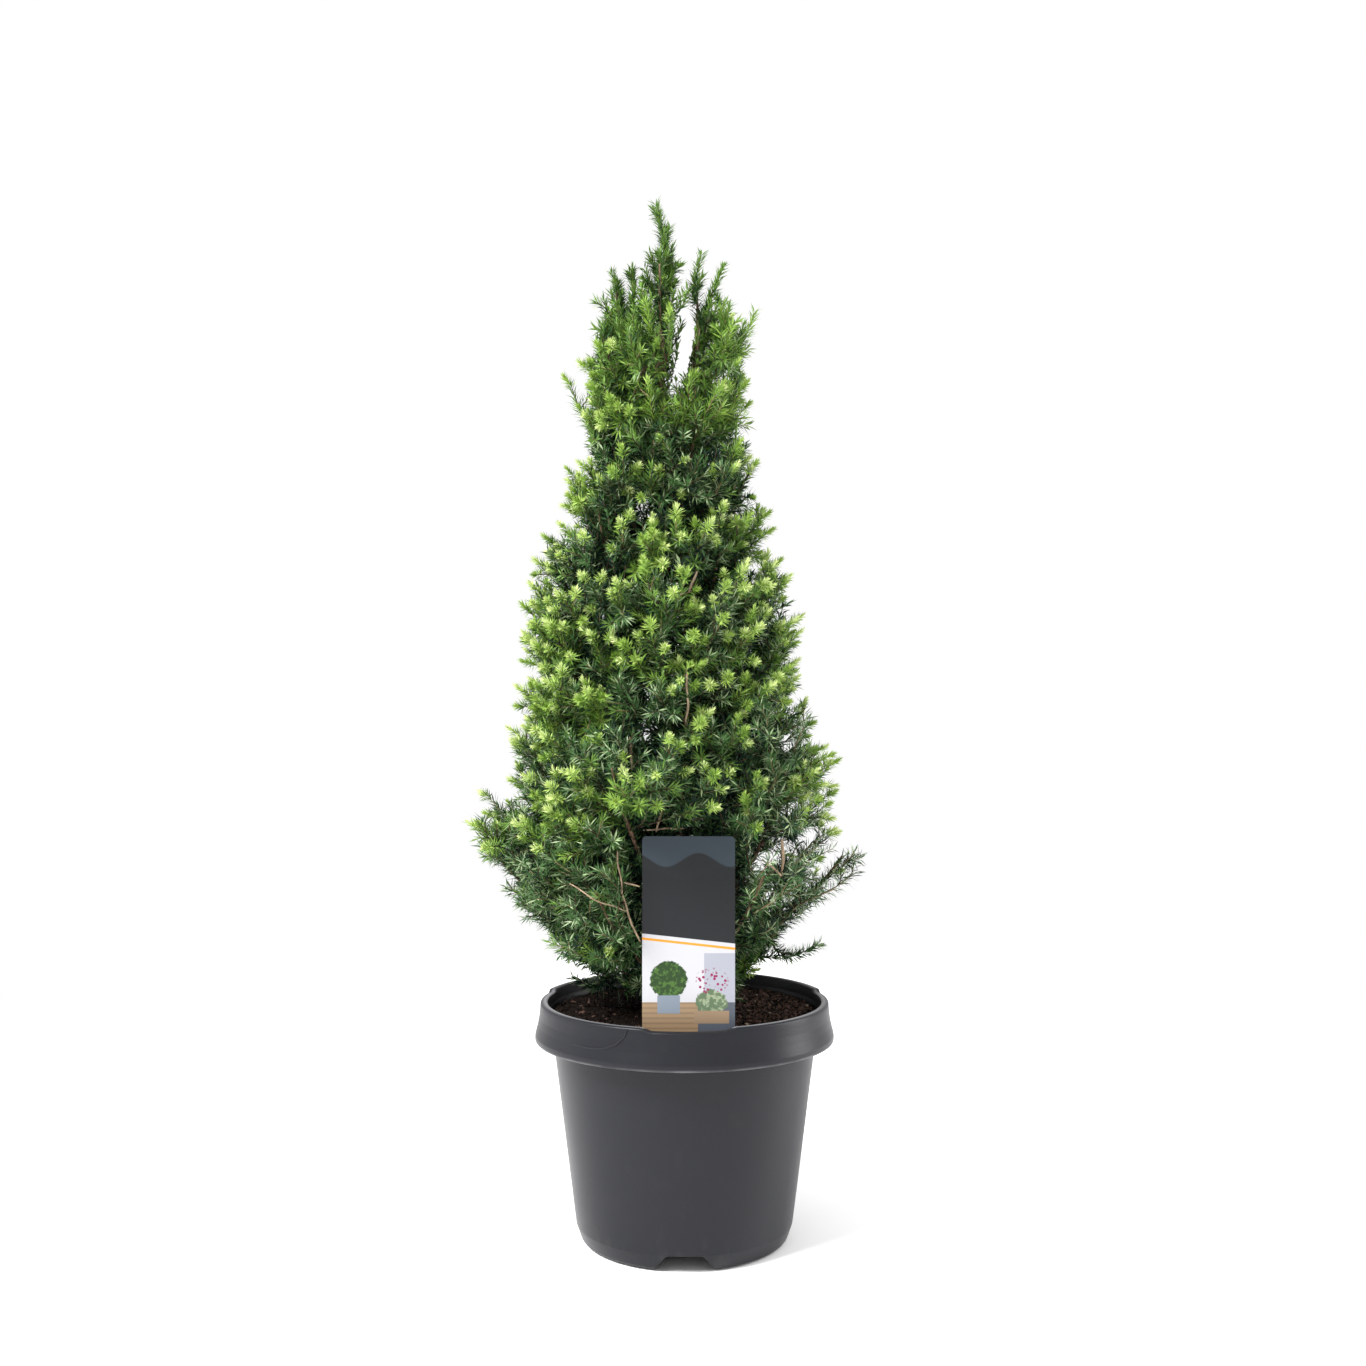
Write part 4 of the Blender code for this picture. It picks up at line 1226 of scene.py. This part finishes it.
def stem_needles(needles, limb, sizes):
    """Needles on the outer part of a bough's stem, or all along the leader."""
    first, density, opening, tones = 0.45, 0.6, STEM_OPENING, (SHADE, OLD)
    if limb.name == "leader":
        first, density, opening, tones = 0.0, 1.3, LEADER_OPENING, (OLD, GREEN)
    count = int(np.linalg.norm(limb.end - limb.start) * density * sizes.needles_per_metre)
    curve = limb.start, limb.bend, limb.end
    length, width = sizes.needle_length, sizes.needle_width
    needles.add(*curve, first, count, length, width, opening, tones, BLOOM_AND_SHEEN_ON_STEMS)


def make_needles(context):
    sizes, colours = context.scene.spruce_sizes, context.scene.spruce_colours
    grown = crown(sizes)
    looks = [
        plain_look(f"needles_{tone}", getattr(colours, tone), 0.42, Specular_IOR_Level=gloss)
        for tone, gloss in zip(NEEDLE_TONES, NEEDLE_GLOSS)
    ]
    dice = np.random.default_rng(SEED + 2)
    for tier in range(1, len(TIERS) + 1):
        needles = Needles(SEED + 10 * tier)
        for limb, shoots in zip(grown.limbs, grown.shoots):
            if tier_of(limb) != tier:
                continue
            stem_needles(needles, limb, sizes)
            for shoot in shoots:
                shoot_needles(needles, shoot, sizes, dice)
        points, faces, tones = needles.shape()
        item = mesh_piece(f"needles_tier_{tier}", points, faces, looks, tones)
        mine = [name for name in MASSES if name.split("_")[1] == str(tier)]
        if tier == len(TIERS):
            mine.append("foliage_leader")
        settle(item, mine)


def has_tuft(shoot, dice):
    """Whether a shoot ends in a tuft. Tufts gather in clusters at the ends of sprays, halfway up the
    crown more than near its foot and its top."""
    hidden = shoot.kind == "inner" or shoot.depth < 0.72
    if hidden or shoot.place_on_spray < 0.40 or shoot.low_twig:
        return dice.uniform() < ODD_TUFTS
    high = height_share(shoot.tip[2])
    ready = shoot.cluster * 1.1 + float(np.interp(high, HEIGHTS_OF_TUFTS, SHARES_OF_TUFTS))
    ready += 0.22 if shoot.kind == "spray" else 0.3 * (shoot.place_on_spray - 0.7)
    if in_dark_place(shoot.tip):
        ready -= 0.38
    return dice.uniform() < ready


def make_new_growth(context):
    sizes, colours = context.scene.spruce_sizes, context.scene.spruce_colours
    grown = crown(sizes)
    looks = [
        plain_look(f"new_{tone}", getattr(colours, tone), 0.5, Specular_IOR_Level=0.4)
        for tone in TUFT_TONES
    ]
    dice = np.random.default_rng(SEED + 3)
    needles = Needles(SEED + 4)
    for shoots in grown.shoots:
        for shoot in shoots:
            if not has_tuft(shoot, dice):
                continue
            large = 1.0 if shoot.kind == "spray" else dice.uniform(0.50, 0.95)
            outward = np.array([shoot.tip[0], shoot.tip[1], 0.0])
            ahead = unit(shoot.direction + 0.45 * unit(outward))
            axis = ahead * dice.uniform(0.004, 0.009) * large
            start = shoot.tip - shoot.direction * 0.002
            curve = start, start + axis * 0.5, start + axis
            bright = dice.uniform() - 1.8 * max(height_share(shoot.tip[2]) - 0.6, 0)
            tones = DULL_TUFT if bright < 0.22 else GREEN_TUFT if bright < 0.40 else PALE_TUFT
            count = int(sizes.tuft_needles * (0.3 + 0.7 * large))
            length = sizes.needle_length * dice.uniform(0.56, 0.76) * (0.45 + 0.55 * large)
            needles.add(*curve, 0.0, count, length, sizes.needle_width, TUFT_OPENING, tones)
    points, faces, tones = needles.shape()
    item = mesh_piece("new_growth", points, faces, looks, tones)
    settle(item, [])


# The pot, the soil and the card


def rounded(corners, steps=4):
    """Points of an outline whose corners, given as across, up and radius, are rounded off."""
    points = []
    for index, (x, z, radius) in enumerate(corners):
        here = np.array([x, z])
        before = np.array(corners[index - 1][:2])
        after = np.array(corners[(index + 1) % len(corners)][:2])
        if radius <= 0:
            points.append(here)
            continue
        back, forth = unit(before - here), unit(after - here)
        room = min(np.linalg.norm(before - here), np.linalg.norm(after - here)) * 0.49
        half = math.acos(max(min(float(back @ forth), 1.0), -1.0)) / 2
        cut = min(radius / max(math.tan(half), 1e-6), room)
        for share in np.linspace(0, 1, steps + 1):
            points.append(along(here + back * cut, here, here + forth * cut, share))
    return np.array(points)


def mirrored(corners):
    """The same corners on the other side of X, in the order that goes on from them."""
    return [(-x, z, radius) for x, z, radius in reversed(corners)]


def body_radius(height):
    """Outer radius of the pot's tapered wall at a height."""
    skirt_foot = POT_HEIGHT - SKIRT_HEIGHT
    return FOOT_RADIUS + (BODY_TOP_RADIUS - FOOT_RADIUS) * height / skirt_foot


def pot_profile():
    """The wall, the folded-over rim and the raised floor as one closed outline of radius and height."""
    skirt_foot = POT_HEIGHT - SKIRT_HEIGHT
    floor_top = FLOOR_LIFT + POT_WALL
    corners = [
        (DRAIN_RADIUS, floor_top, 0.0002),
        (0.040, floor_top, 0.0),
        (body_radius(floor_top) - POT_WALL, floor_top, 0.003),
        (body_radius(0.05) - POT_WALL, 0.05, 0.0),
        (body_radius(0.10) - POT_WALL, 0.10, 0.0),
        (body_radius(skirt_foot) - POT_WALL, skirt_foot, 0.004),
        (LIP_RADIUS - 0.0004, POT_HEIGHT - 0.006, 0.002),
        (LIP_RADIUS, POT_HEIGHT - 0.0006, 0.0004),
        (LIP_RADIUS + 0.0010, POT_HEIGHT, 0.0007),
        (LIP_RADIUS + 0.0050, POT_HEIGHT - 0.0004, 0.0016),
        *RIM_OUTSIDE,
        (RIM_RADIUS, skirt_foot + 0.0004, 0.0024),
        (RIM_RADIUS - 0.0026, skirt_foot, 0.0010),
        (RIM_RADIUS - 0.0027, skirt_foot + 0.0035, 0.0006),
        (RIM_RADIUS - 0.0046, POT_HEIGHT - 0.0110, 0.003),
        (LIP_RADIUS + 0.0026, POT_HEIGHT - 0.0044, 0.0012),
        (LIP_RADIUS + 0.0010, POT_HEIGHT - 0.0056, 0.0010),
        (body_radius(skirt_foot) + 0.0024, skirt_foot + 0.010, 0.004),
        (body_radius(skirt_foot), skirt_foot, 0.002),
        (body_radius(0.11), 0.11, 0.0),
        (body_radius(0.08), 0.08, 0.0),
        (body_radius(0.05), 0.05, 0.0),
        (body_radius(0.025), 0.025, 0.0),
        (body_radius(0.012), 0.012, 0.004),
        (FOOT_RADIUS - 0.0022, 0.0015, 0.004),
        (FOOT_RADIUS - 0.0060, 0.0, 0.0012),
        (FOOT_RADIUS - 0.0088, 0.0, 0.0006),
        (FOOT_RADIUS - 0.0060, 0.0050, 0.003),
        (body_radius(FLOOR_LIFT) - POT_WALL * 1.6, FLOOR_LIFT, 0.002),
        (0.040, FLOOR_LIFT, 0.0),
        (DRAIN_RADIUS, FLOOR_LIFT, 0.0002),
    ]
    return rounded(corners)


def between(turn, sides, ease):
    """1 between two turns and 0 elsewhere, with a slope inside each."""
    first, last = sides
    return np.clip((turn - first) / ease, 0, 1) * np.clip((last - turn) / ease, 0, 1)


def lip_rise(turn):
    """How far the lip stands above the rim's height at a turn in degrees: higher behind, from a small
    step at each side, and with a dip in front."""
    dip = between(turn, LIP_DIP_SIDES, LIP_DIP_EASE)
    behind = between(turn, LIP_BACK_SIDES, LIP_BACK_EASE)
    return LIP_RISE + LIP_BACK_RISE * behind - LIP_DIP * dip


def ring_faces(rows, steps):
    """Quads between rows of points that run round an axis, the last row joined to the first."""
    row, step = np.meshgrid(np.arange(rows), np.arange(steps), indexing="ij")
    after, beside = (row + 1) % rows, (step + 1) % steps
    corners = (row * steps + step, after * steps + step, after * steps + beside, row * steps + beside)
    return np.stack(corners, axis=-1).reshape(-1, 4)


def prism(name, outline, depth):
    """A closed solid from an outline in X and Z, standing on both sides of Y, for cutting."""
    count = len(outline)
    front = np.stack([outline[:, 0], np.full(count, -depth / 2), outline[:, 1]], axis=-1)
    back = front + np.array([0.0, depth, 0.0])
    mesh = bpy.data.meshes.new(name)
    faces = [tuple(range(count)), tuple(range(2 * count - 1, count - 1, -1))]
    for i in range(count):
        j = (i + 1) % count
        faces.append((j, i, i + count, j + count))
    mesh.from_pydata(np.vstack([front, back]).tolist(), [], faces)
    shape = bmesh.new()
    shape.from_mesh(mesh)
    bmesh.ops.recalc_face_normals(shape, faces=shape.faces)
    shape.to_mesh(mesh)
    shape.free()
    item = bpy.data.objects.new(name, mesh)
    bpy.context.scene.collection.objects.link(item)
    return item


def cut(item, cutter):
    """Cuts one solid out of another and removes the cutter."""
    modifier = item.modifiers.new("cut", "BOOLEAN")
    modifier.operation = "DIFFERENCE"
    modifier.solver = "MANIFOLD"
    modifier.object = cutter
    bpy.context.view_layer.update()
    graph = bpy.context.evaluated_depsgraph_get()
    mesh = bpy.data.meshes.new_from_object(item.evaluated_get(graph))
    item.modifiers.clear()
    item.data = mesh
    bpy.data.objects.remove(cutter)


def pot_look(colours):
    look = Look("pot_plastic", tuple(colours.pot), 0.36, Specular_IOR_Level=0.2)
    place = look.coordinates()
    clouds = look.grain(place, 22, 4)
    specks = look.grain(place, 900, 2)
    x, y, height = look.parts(place)
    radius = ((x - float(POT_AXIS[0])) ** 2 + y * y).root()
    dust = look.grain(look.stretched(place, (1.0, 1.0, 0.6)), 90, 5)
    low = height.below(0.030, 0.03) * 0.3 + 0.05
    base = look.blend(clouds * 0.55, darker(colours.pot, 0.86), darker(colours.pot, 1.16))
    base = look.blend(dust.above(0.56, 0.2) * low, base, (0.050, 0.048, 0.046))
    # Painted highlights: the lip's top, on all but the back, and the skirt's lower folded edge are
    # lightened in the base colour as if they caught the light.
    lip = height.above(POT_HEIGHT + 0.0003, 0.0006) * radius.below(LIP_RADIUS + 0.0038, 0.0018)
    lip = lip * y.below(0.028, 0.004)
    foot = POT_HEIGHT - SKIRT_HEIGHT
    fold_highlight = height.below(foot + 0.0022, 0.0012) * radius.above(RIM_RADIUS - 0.0020, 0.0008)
    painted_highlight = lip * 0.7 + fold_highlight * (0.08 + 0.5 * clouds.above(0.42, 0.25))
    base = look.blend(painted_highlight, base, (0.19, 0.19, 0.20))
    rough = 0.27 + 0.12 * clouds + 0.08 * specks
    look.set(**{"Base Color": base, "Roughness": rough})
    look.bump(specks + 0.6 * clouds, 0.00012, 0.6)
    return look.material


def make_pot(context):
    colours = context.scene.spruce_colours
    profile = pot_profile()
    turns = np.arange(POT_STEPS) * math.tau / POT_STEPS
    degrees = (np.degrees(turns) + 180) % 360 - 180
    rise = lip_rise(degrees)
    radius, height = profile[:, :1], profile[:, 1:]
    share = np.clip((height - (POT_HEIGHT - LIP_ROOT)) / LIP_SLOPE, 0, 1)
    up = height + rise[None, :] * share
    points = np.stack([radius * np.cos(turns), radius * np.sin(turns), up], axis=-1).reshape(-1, 3)
    faces = ring_faces(len(profile), POT_STEPS)
    item = mesh_piece("nursery_pot", points, faces, [pot_look(colours)], smooth=True)
    half = [(-0.0215, -0.004, 0.0), (-0.0205, 0.0010, 0.0), (-0.0120, NOTCH_HEIGHT, 0.0045)]
    notch = rounded(half + mirrored(half))
    for side in (-1, 1):
        cutter = prism("notch", notch, 0.024)
        cutter.location = POT_AXIS + np.array([0.0, side * FOOT_RADIUS, 0.0])
        cut(item, cutter)
    ring = np.arange(DRAIN_STEPS) * math.tau / DRAIN_STEPS
    hole = np.stack([np.cos(ring), np.sin(ring)], axis=-1) * DRAIN_RADIUS
    for index in range(DRAIN_COUNT):
        turn = math.tau * (index + 0.5) / DRAIN_COUNT
        cutter = prism("drain", hole, 0.02)
        cutter.rotation_euler.x = math.pi / 2
        cutter.location = POT_AXIS + np.array([math.cos(turn), math.sin(turn), 0]) * DRAIN_CIRCLE
        cutter.location.z = FLOOR_LIFT
        cut(item, cutter)
    add_bead(item)
    item.data.shade_smooth()
    item.data.set_sharp_from_angle(angle=math.radians(38))
    settle(item, ["pot"])


def add_bead(item):
    """Adds the moulded bead on the rim's outside, half sunk in it and fading at its far end."""
    share = np.linspace(0, 1, 60)
    turns, heights = (
        np.interp(share, np.linspace(0, 1, len(BEAD)), values) for values in zip(*BEAD)
    )
    turns = np.radians(turns)
    radii, levels, _ = zip(*RIM_OUTSIDE)
    radius = np.interp(heights, levels[::-1], radii[::-1]) - BEAD_RADIUS * 0.35 * share
    line = np.stack([radius * np.cos(turns), radius * np.sin(turns), heights], axis=-1) + POT_AXIS
    thick = BEAD_RADIUS * np.sin(math.pi * (0.08 + 0.84 * share)) ** 0.4
    points, faces, _ = tubes(line[None], thick[None], 8)
    bead = bpy.data.meshes.new("bead")
    bead.from_pydata(points.tolist(), [], faces.tolist())
    shape = bmesh.new()
    shape.from_mesh(item.data)
    shape.from_mesh(bead)
    shape.to_mesh(item.data)
    shape.free()
    bpy.data.meshes.remove(bead)


def soil_look(colours):
    look = Look("potting_soil", tuple(colours.soil), 0.95, Specular_IOR_Level=0.05)
    place = look.coordinates()
    clods = look.grain(place, 260, 5, 0.65)
    base = look.blend(clods.above(0.35, 0.35), darker(colours.soil, 0.45), darker(colours.soil, 1.7))
    # Painted light and shade: towards +X the soil is painted lighter and redder, as if lit, and towards
    # -X it stays darker, as in the plant's shade.
    x, _, _ = look.parts(place)
    painted_lit_side = (x + 0.03 * look.grain(place, 30, 3)).above(0.02, 0.04)
    base = look.blend(painted_lit_side * clods, base, darker(colours.chip, 0.6))
    damp = look.grain(place, 30, 3)
    look.set(**{"Base Color": base, "Roughness": 0.80 + 0.18 * damp})
    look.bump(clods, 0.0016)
    return look.material


def soil_height(x, y):
    """Height of the soil's surface, without its crumbs: a low mound that meets the wall lower down."""
    radius = np.hypot(x, y)
    lumps = np.vectorize(lambda a, b: noise.fractal(Vector((a * 55, b * 55, 3.0)), 1.0, 2.0, 4))
    mound = SOIL_TOP - (SOIL_TOP - SOIL_EDGE) * (radius / SOIL_RADIUS) ** 2
    return mound + SOIL_LUMPS * lumps(x, y)


def make_soil(context):
    sizes, colours = context.scene.spruce_sizes, context.scene.spruce_colours
    steps = SOIL_STEPS
    rim = body_radius(POT_HEIGHT - SKIRT_HEIGHT) - POT_WALL - SOIL_ROOM
    radii = np.append(np.linspace(SOIL_HUB, rim + 0.0008, SOIL_ROWS), [rim - 0.0002])
    turns = np.arange(steps) * math.tau / steps
    x, y = radii[:, None] * np.cos(turns), radii[:, None] * np.sin(turns)
    z = soil_height(x, y)
    z[-1] = POT_HEIGHT - SKIRT_HEIGHT
    floor = FLOOR_LIFT + POT_WALL + 0.0004
    low = body_radius(floor) - POT_WALL - SOIL_ROOM
    x = np.vstack([x, low * np.cos(turns), SOIL_HUB * np.cos(turns)])
    y = np.vstack([y, low * np.sin(turns), SOIL_HUB * np.sin(turns)])
    z = np.vstack([z, np.full((2, steps), floor)])
    points = np.stack([x, y, z], axis=-1).reshape(-1, 3)
    faces = ring_faces(len(x), steps)[:, ::-1]
    faces = np.vstack([faces[:, [0, 1, 2]], faces[:, [0, 2, 3]]])
    chips, chip_faces, tones = soil_chips(sizes.soil_chips)
    tones = np.concatenate([np.zeros(len(faces)), tones])
    points, faces = joined([(points, faces), (chips, chip_faces)])
    looks = [
        soil_look(colours),
        plain_look("soil_crumb", darker(colours.soil, 1.6), 0.9, Specular_IOR_Level=0.05),
        plain_look("bark_chip", colours.chip, 0.85, Specular_IOR_Level=0.1),
        plain_look("pale_crumb", colours.fibre, 0.85, Specular_IOR_Level=0.2),
    ]
    item = mesh_piece("soil", points, faces, looks, tones)
    settle(item, ["root_ball"])


def soil_chips(count):
    """Loose crumbs and flat chips half sunk in the soil, each of eight faces."""
    dice = np.random.default_rng(SEED + 5)
    radius = 0.091 * np.sqrt(dice.uniform(size=count))
    turn = dice.uniform(0, math.tau, count)
    x, y = radius * np.cos(turn), radius * np.sin(turn)
    size = dice.gamma(3.0, 0.00034, count) + 0.0004
    size = np.minimum(size, 0.0030)
    corners = np.array([(1, 0, 0), (0, 1, 0), (-1, 0, 0), (0, -1, 0), (0, 0, 1), (0, 0, -1)], float)
    stretch = dice.uniform((0.6, 0.35, 0.25), (1.5, 0.9, 0.6), (count, 3))
    shape = corners[None] * stretch[:, None] * size[:, None, None]
    shape *= dice.uniform(0.75, 1.25, (count, 6, 1))
    spin, tip = dice.uniform(0, math.tau, count), dice.normal(0, 0.45, count)
    shape = turned_about(shape, tip, 0, 2)
    shape = turned_about(shape, spin, 0, 1)
    z = soil_height(x, y) + size * 0.12
    points = shape + np.stack([x, y, z], axis=-1)[:, None]
    one = [(0, 1, 4), (1, 2, 4), (2, 3, 4), (3, 0, 4), (1, 0, 5), (2, 1, 5), (3, 2, 5), (0, 3, 5)]
    faces = (np.array(one)[None] + np.arange(count)[:, None, None] * 6).reshape(-1, 3)
    # Painted light: towards +X more chips are reddish or pale, so that side reads lighter, as if lit.
    painted_lit_side = np.clip(0.5 + x / 0.06, 0, 1)
    chance = dice.uniform(size=count) * (0.72 + 0.28 * painted_lit_side)
    tones = np.where(chance < 0.68 - 0.24 * painted_lit_side, 1, np.where(chance < 0.98, 2, 3))
    return points.reshape(-1, 3), faces, np.repeat(tones, 8)


def turned_about(shapes, angles, first, second):
    """Shapes turned by an angle each, from one axis towards another."""
    turned = shapes.copy()
    cosine, sine = np.cos(angles)[:, None], np.sin(angles)[:, None]
    turned[..., first] = shapes[..., first] * cosine - shapes[..., second] * sine
    turned[..., second] = shapes[..., first] * sine + shapes[..., second] * cosine
    return turned


def card_look(colours):
    """A printed card of a generic design: hills above a band, and a planted terrace below it."""
    look = Look("card_print", tuple(colours.card), 0.38, Specular_IOR_Level=0.22)
    place = look.coordinates()
    x, _, z = look.parts(place)
    x = x - float(POT_AXIS[0] + CARD_PLACE[0])
    ragged = look.grain(place, 420, 3)
    ground = tuple(colours.card)
    hills = 0.272 + 0.0045 * look.node("ShaderNodeMath", {"operation": "SINE"}, {0: x * 150 + 0.6})
    art = look.blend(z.above(hills, 0.0012), ground, tuple(colours.card_slate))
    near = 0.264 + 0.004 * look.node("ShaderNodeMath", {"operation": "SINE"}, {0: x * 110 - 1.2})
    art = look.blend(z.below(near, 0.0006), art, darker(colours.card, 0.92))
    seam = z + x * 0.11
    panel = seam.below(0.2215)
    art = look.blend(panel, art, (0.42, 0.42, 0.44))
    band = seam.below(0.2190) * seam.above(0.2172)
    art = look.blend(band, art, tuple(colours.card_band))
    wall = panel * z.below(0.2120)
    art = look.blend(wall * x.above(0.010), art, (0.28, 0.29, 0.33))
    deck = z.below(0.1800)
    slats = look.node("ShaderNodeMath", {"operation": "SINE"}, {0: z * 1900})
    wood = look.blend(slats.above(0.2, 0.5) * 0.5, (0.25, 0.17, 0.10), (0.13, 0.09, 0.055))
    art = look.blend(deck * panel, art, wood)
    art = look.blend(deck * x.above(0.006), art, (0.07, 0.08, 0.10))
    bush = ((x + 0.013) ** 2 + (z - 0.1945) ** 2).root() + ragged * 0.004
    leaf = look.blend(ragged.above(0.5, 0.1), (0.016, 0.040, 0.010), (0.05, 0.11, 0.022))
    art = look.blend(bush.below(0.0145, 0.0006), art, leaf)
    tub = abs(x + 0.013).below(0.0075) * z.below(0.1845) * z.above(0.1725)
    art = look.blend(tub, art, (0.16, 0.19, 0.23))
    mound = (((x - 0.015) * 0.8) ** 2 + (z - 0.1800) ** 2).root() + ragged * 0.004
    sage = look.blend(ragged.above(0.5, 0.1), (0.08, 0.12, 0.065), (0.22, 0.27, 0.17))
    art = look.blend(mound.below(0.0105, 0.0006), art, sage)
    blooms = look.cells(place, 420).below(0.42, 0.08)
    heads = (((x - 0.015) * 0.8) ** 2 + (z - 0.1935) ** 2).root().below(0.0095, 0.002)
    art = look.blend(blooms * heads, art, (0.20, 0.012, 0.07))
    box = abs(x - 0.015).below(0.0115) * z.below(0.1745) * z.above(0.1660)
    art = look.blend(box, art, (0.23, 0.16, 0.10))
    sheen = look.grain(place, 180, 2)
    look.set(**{"Base Color": art, "Roughness": 0.30 + 0.14 * sheen})
    return look.material


def make_card(context):
    colours = context.scene.spruce_colours
    half, stake = CARD_WIDTH / 2, CARD_STAKE_WIDTH / 2
    side = [
        (half, CARD_TOP, CARD_CORNER),
        (half, CARD_SHOULDER, 0.0025),
        (stake, CARD_SHOULDER, 0.002),
        (stake, CARD_STAKE_FOOT + 0.012, 0.001),
        (0.001, CARD_STAKE_FOOT, 0.0003),
    ]
    outline = rounded(side + mirrored(side), 6)
    item = prism("plant_label", outline, CARD_THICKNESS)
    item.data.transform(Matrix.Translation(CARD_PLACE + POT_AXIS))
    item.data.materials.append(card_look(colours))
    settle(item, ["plant_card"])


# The studio


def area_light(name, place, target, size, power):
    light = bpy.data.lights.new(name, "AREA")
    light.shape = "RECTANGLE"
    light.size, light.size_y = size
    light.energy = power
    item = bpy.data.objects.new(name, light)
    item.location = place
    aim = Vector(target) - Vector(place)
    item.rotation_euler = aim.to_track_quat("-Z", "Y").to_euler()
    bpy.context.scene.collection.objects.link(item)


def make_stage(context):
    scene = context.scene
    steps, rows = FLOOR_STEPS, len(FLOOR_RADII)
    turns = np.arange(steps) * math.tau / steps
    radii = np.array(FLOOR_RADII)[:, None]
    level = np.full((rows, steps), FLOOR_LEVEL)
    points = np.stack([radii * np.cos(turns), radii * np.sin(turns), level], axis=-1)
    faces = ring_faces(rows, steps)[: (rows - 1) * steps]
    floor_look = Look("studio_floor", tuple(scene.spruce_colours.floor), 0.7)
    speckle = floor_look.grain(floor_look.coordinates(), 40, 3)
    pale = tuple(scene.spruce_colours.floor)
    floor_look.set(**{"Base Color": floor_look.blend(speckle, darker(pale, 0.985), pale)})
    item = mesh_piece("floor", points.reshape(-1, 3), faces[:, ::-1], [floor_look.material])
    world = bpy.data.worlds.new("studio")
    world.use_nodes = True
    background = world.node_tree.nodes["Background"]
    background.inputs["Color"].default_value = (1.0, 1.0, 1.0, 1.0)
    background.inputs["Strength"].default_value = 1.0
    scene.world = world
    for name, place, size, power in LIGHTS:
        area_light(name, place, (POT_AXIS[0], 0.0, LIGHTS_AIM), size, power)
    scene.view_settings.view_transform = "Standard"
    camera = bpy.data.cameras.new("camera")
    camera.lens = FOCAL_LENGTH / PICTURE_WIDTH * SENSOR_WIDTH
    camera.sensor_width = SENSOR_WIDTH
    camera.sensor_fit = "HORIZONTAL"
    camera.shift_y = UPWARD_SHIFT / PICTURE_WIDTH
    item = bpy.data.objects.new("camera", camera)
    item.location = (POT_AXIS[0] - CAMERA_ASIDE, -CAMERA_DISTANCE, CAMERA_HEIGHT)
    item.rotation_euler = (math.pi / 2, 0.0, 0.0)
    scene.collection.objects.link(item)
    scene.camera = item


# The add-on: one operator for each piece or group of like pieces, and a panel that lists them


class BuildStep:
    """What the operators share: each runs one of the making functions."""

    bl_options = {"REGISTER", "UNDO"}
    make = None

    def execute(self, context):
        type(self).make(context)
        return {"FINISHED"}


class SPRUCE_OT_limbs(BuildStep, bpy.types.Operator):
    """Trunk, boughs and the stems inside the foliage, with the bark's relief"""

    bl_idname = "spruce.limbs"
    bl_label = "Trunk and boughs"
    make = staticmethod(make_limbs)


class SPRUCE_OT_twigs(BuildStep, bpy.types.Operator):
    """The twigs that branch from the stems and carry the shoots"""

    bl_idname = "spruce.twigs"
    bl_label = "Twigs"
    make = staticmethod(make_twigs)


class SPRUCE_OT_needles(BuildStep, bpy.types.Operator):
    """The needles, one mesh for each tier of boughs"""

    bl_idname = "spruce.needles"
    bl_label = "Needles"
    make = staticmethod(make_needles)


class SPRUCE_OT_new_growth(BuildStep, bpy.types.Operator):
    """The bright tufts of new growth at the shoots' tips"""

    bl_idname = "spruce.new_growth"
    bl_label = "New growth"
    make = staticmethod(make_new_growth)


class SPRUCE_OT_pot(BuildStep, bpy.types.Operator):
    """The moulded nursery pot"""

    bl_idname = "spruce.pot"
    bl_label = "Pot"
    make = staticmethod(make_pot)


class SPRUCE_OT_soil(BuildStep, bpy.types.Operator):
    """The potting soil with its crumbs and chips"""

    bl_idname = "spruce.soil"
    bl_label = "Soil"
    make = staticmethod(make_soil)


class SPRUCE_OT_card(BuildStep, bpy.types.Operator):
    """The stick-in card"""

    bl_idname = "spruce.card"
    bl_label = "Card"
    make = staticmethod(make_card)


class SPRUCE_OT_stage(BuildStep, bpy.types.Operator):
    """The pale floor, the studio light and the camera"""

    bl_idname = "spruce.stage"
    bl_label = "Studio"
    make = staticmethod(make_stage)


OPERATORS = (
    SPRUCE_OT_limbs,
    SPRUCE_OT_twigs,
    SPRUCE_OT_needles,
    SPRUCE_OT_new_growth,
    SPRUCE_OT_pot,
    SPRUCE_OT_soil,
    SPRUCE_OT_card,
    SPRUCE_OT_stage,
)


class SPRUCE_PT_panel(bpy.types.Panel):
    """Sizes, colours and the steps that build the plant"""

    bl_idname = "SPRUCE_PT_panel"
    bl_label = "Potted spruce"
    bl_space_type = "VIEW_3D"
    bl_region_type = "UI"
    bl_category = "Spruce"

    def draw(self, context):
        for group in (context.scene.spruce_sizes, context.scene.spruce_colours):
            box = self.layout.box()
            for word in group.__annotations__:
                box.prop(group, word)
        for step in OPERATORS:
            self.layout.operator(step.bl_idname)


CLASSES = (SpruceSizes, SpruceColours, *OPERATORS, SPRUCE_PT_panel)


def register():
    for item in CLASSES:
        bpy.utils.register_class(item)
    bpy.types.Scene.spruce_sizes = bpy.props.PointerProperty(type=SpruceSizes)
    bpy.types.Scene.spruce_colours = bpy.props.PointerProperty(type=SpruceColours)


def unregister():
    del bpy.types.Scene.spruce_colours
    del bpy.types.Scene.spruce_sizes
    for item in reversed(CLASSES):
        bpy.utils.unregister_class(item)


def main():
    register()
    for step in OPERATORS:
        group, name = step.bl_idname.split(".")
        getattr(getattr(bpy.ops, group), name)()
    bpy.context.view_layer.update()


if __name__ == "__main__":
    main()
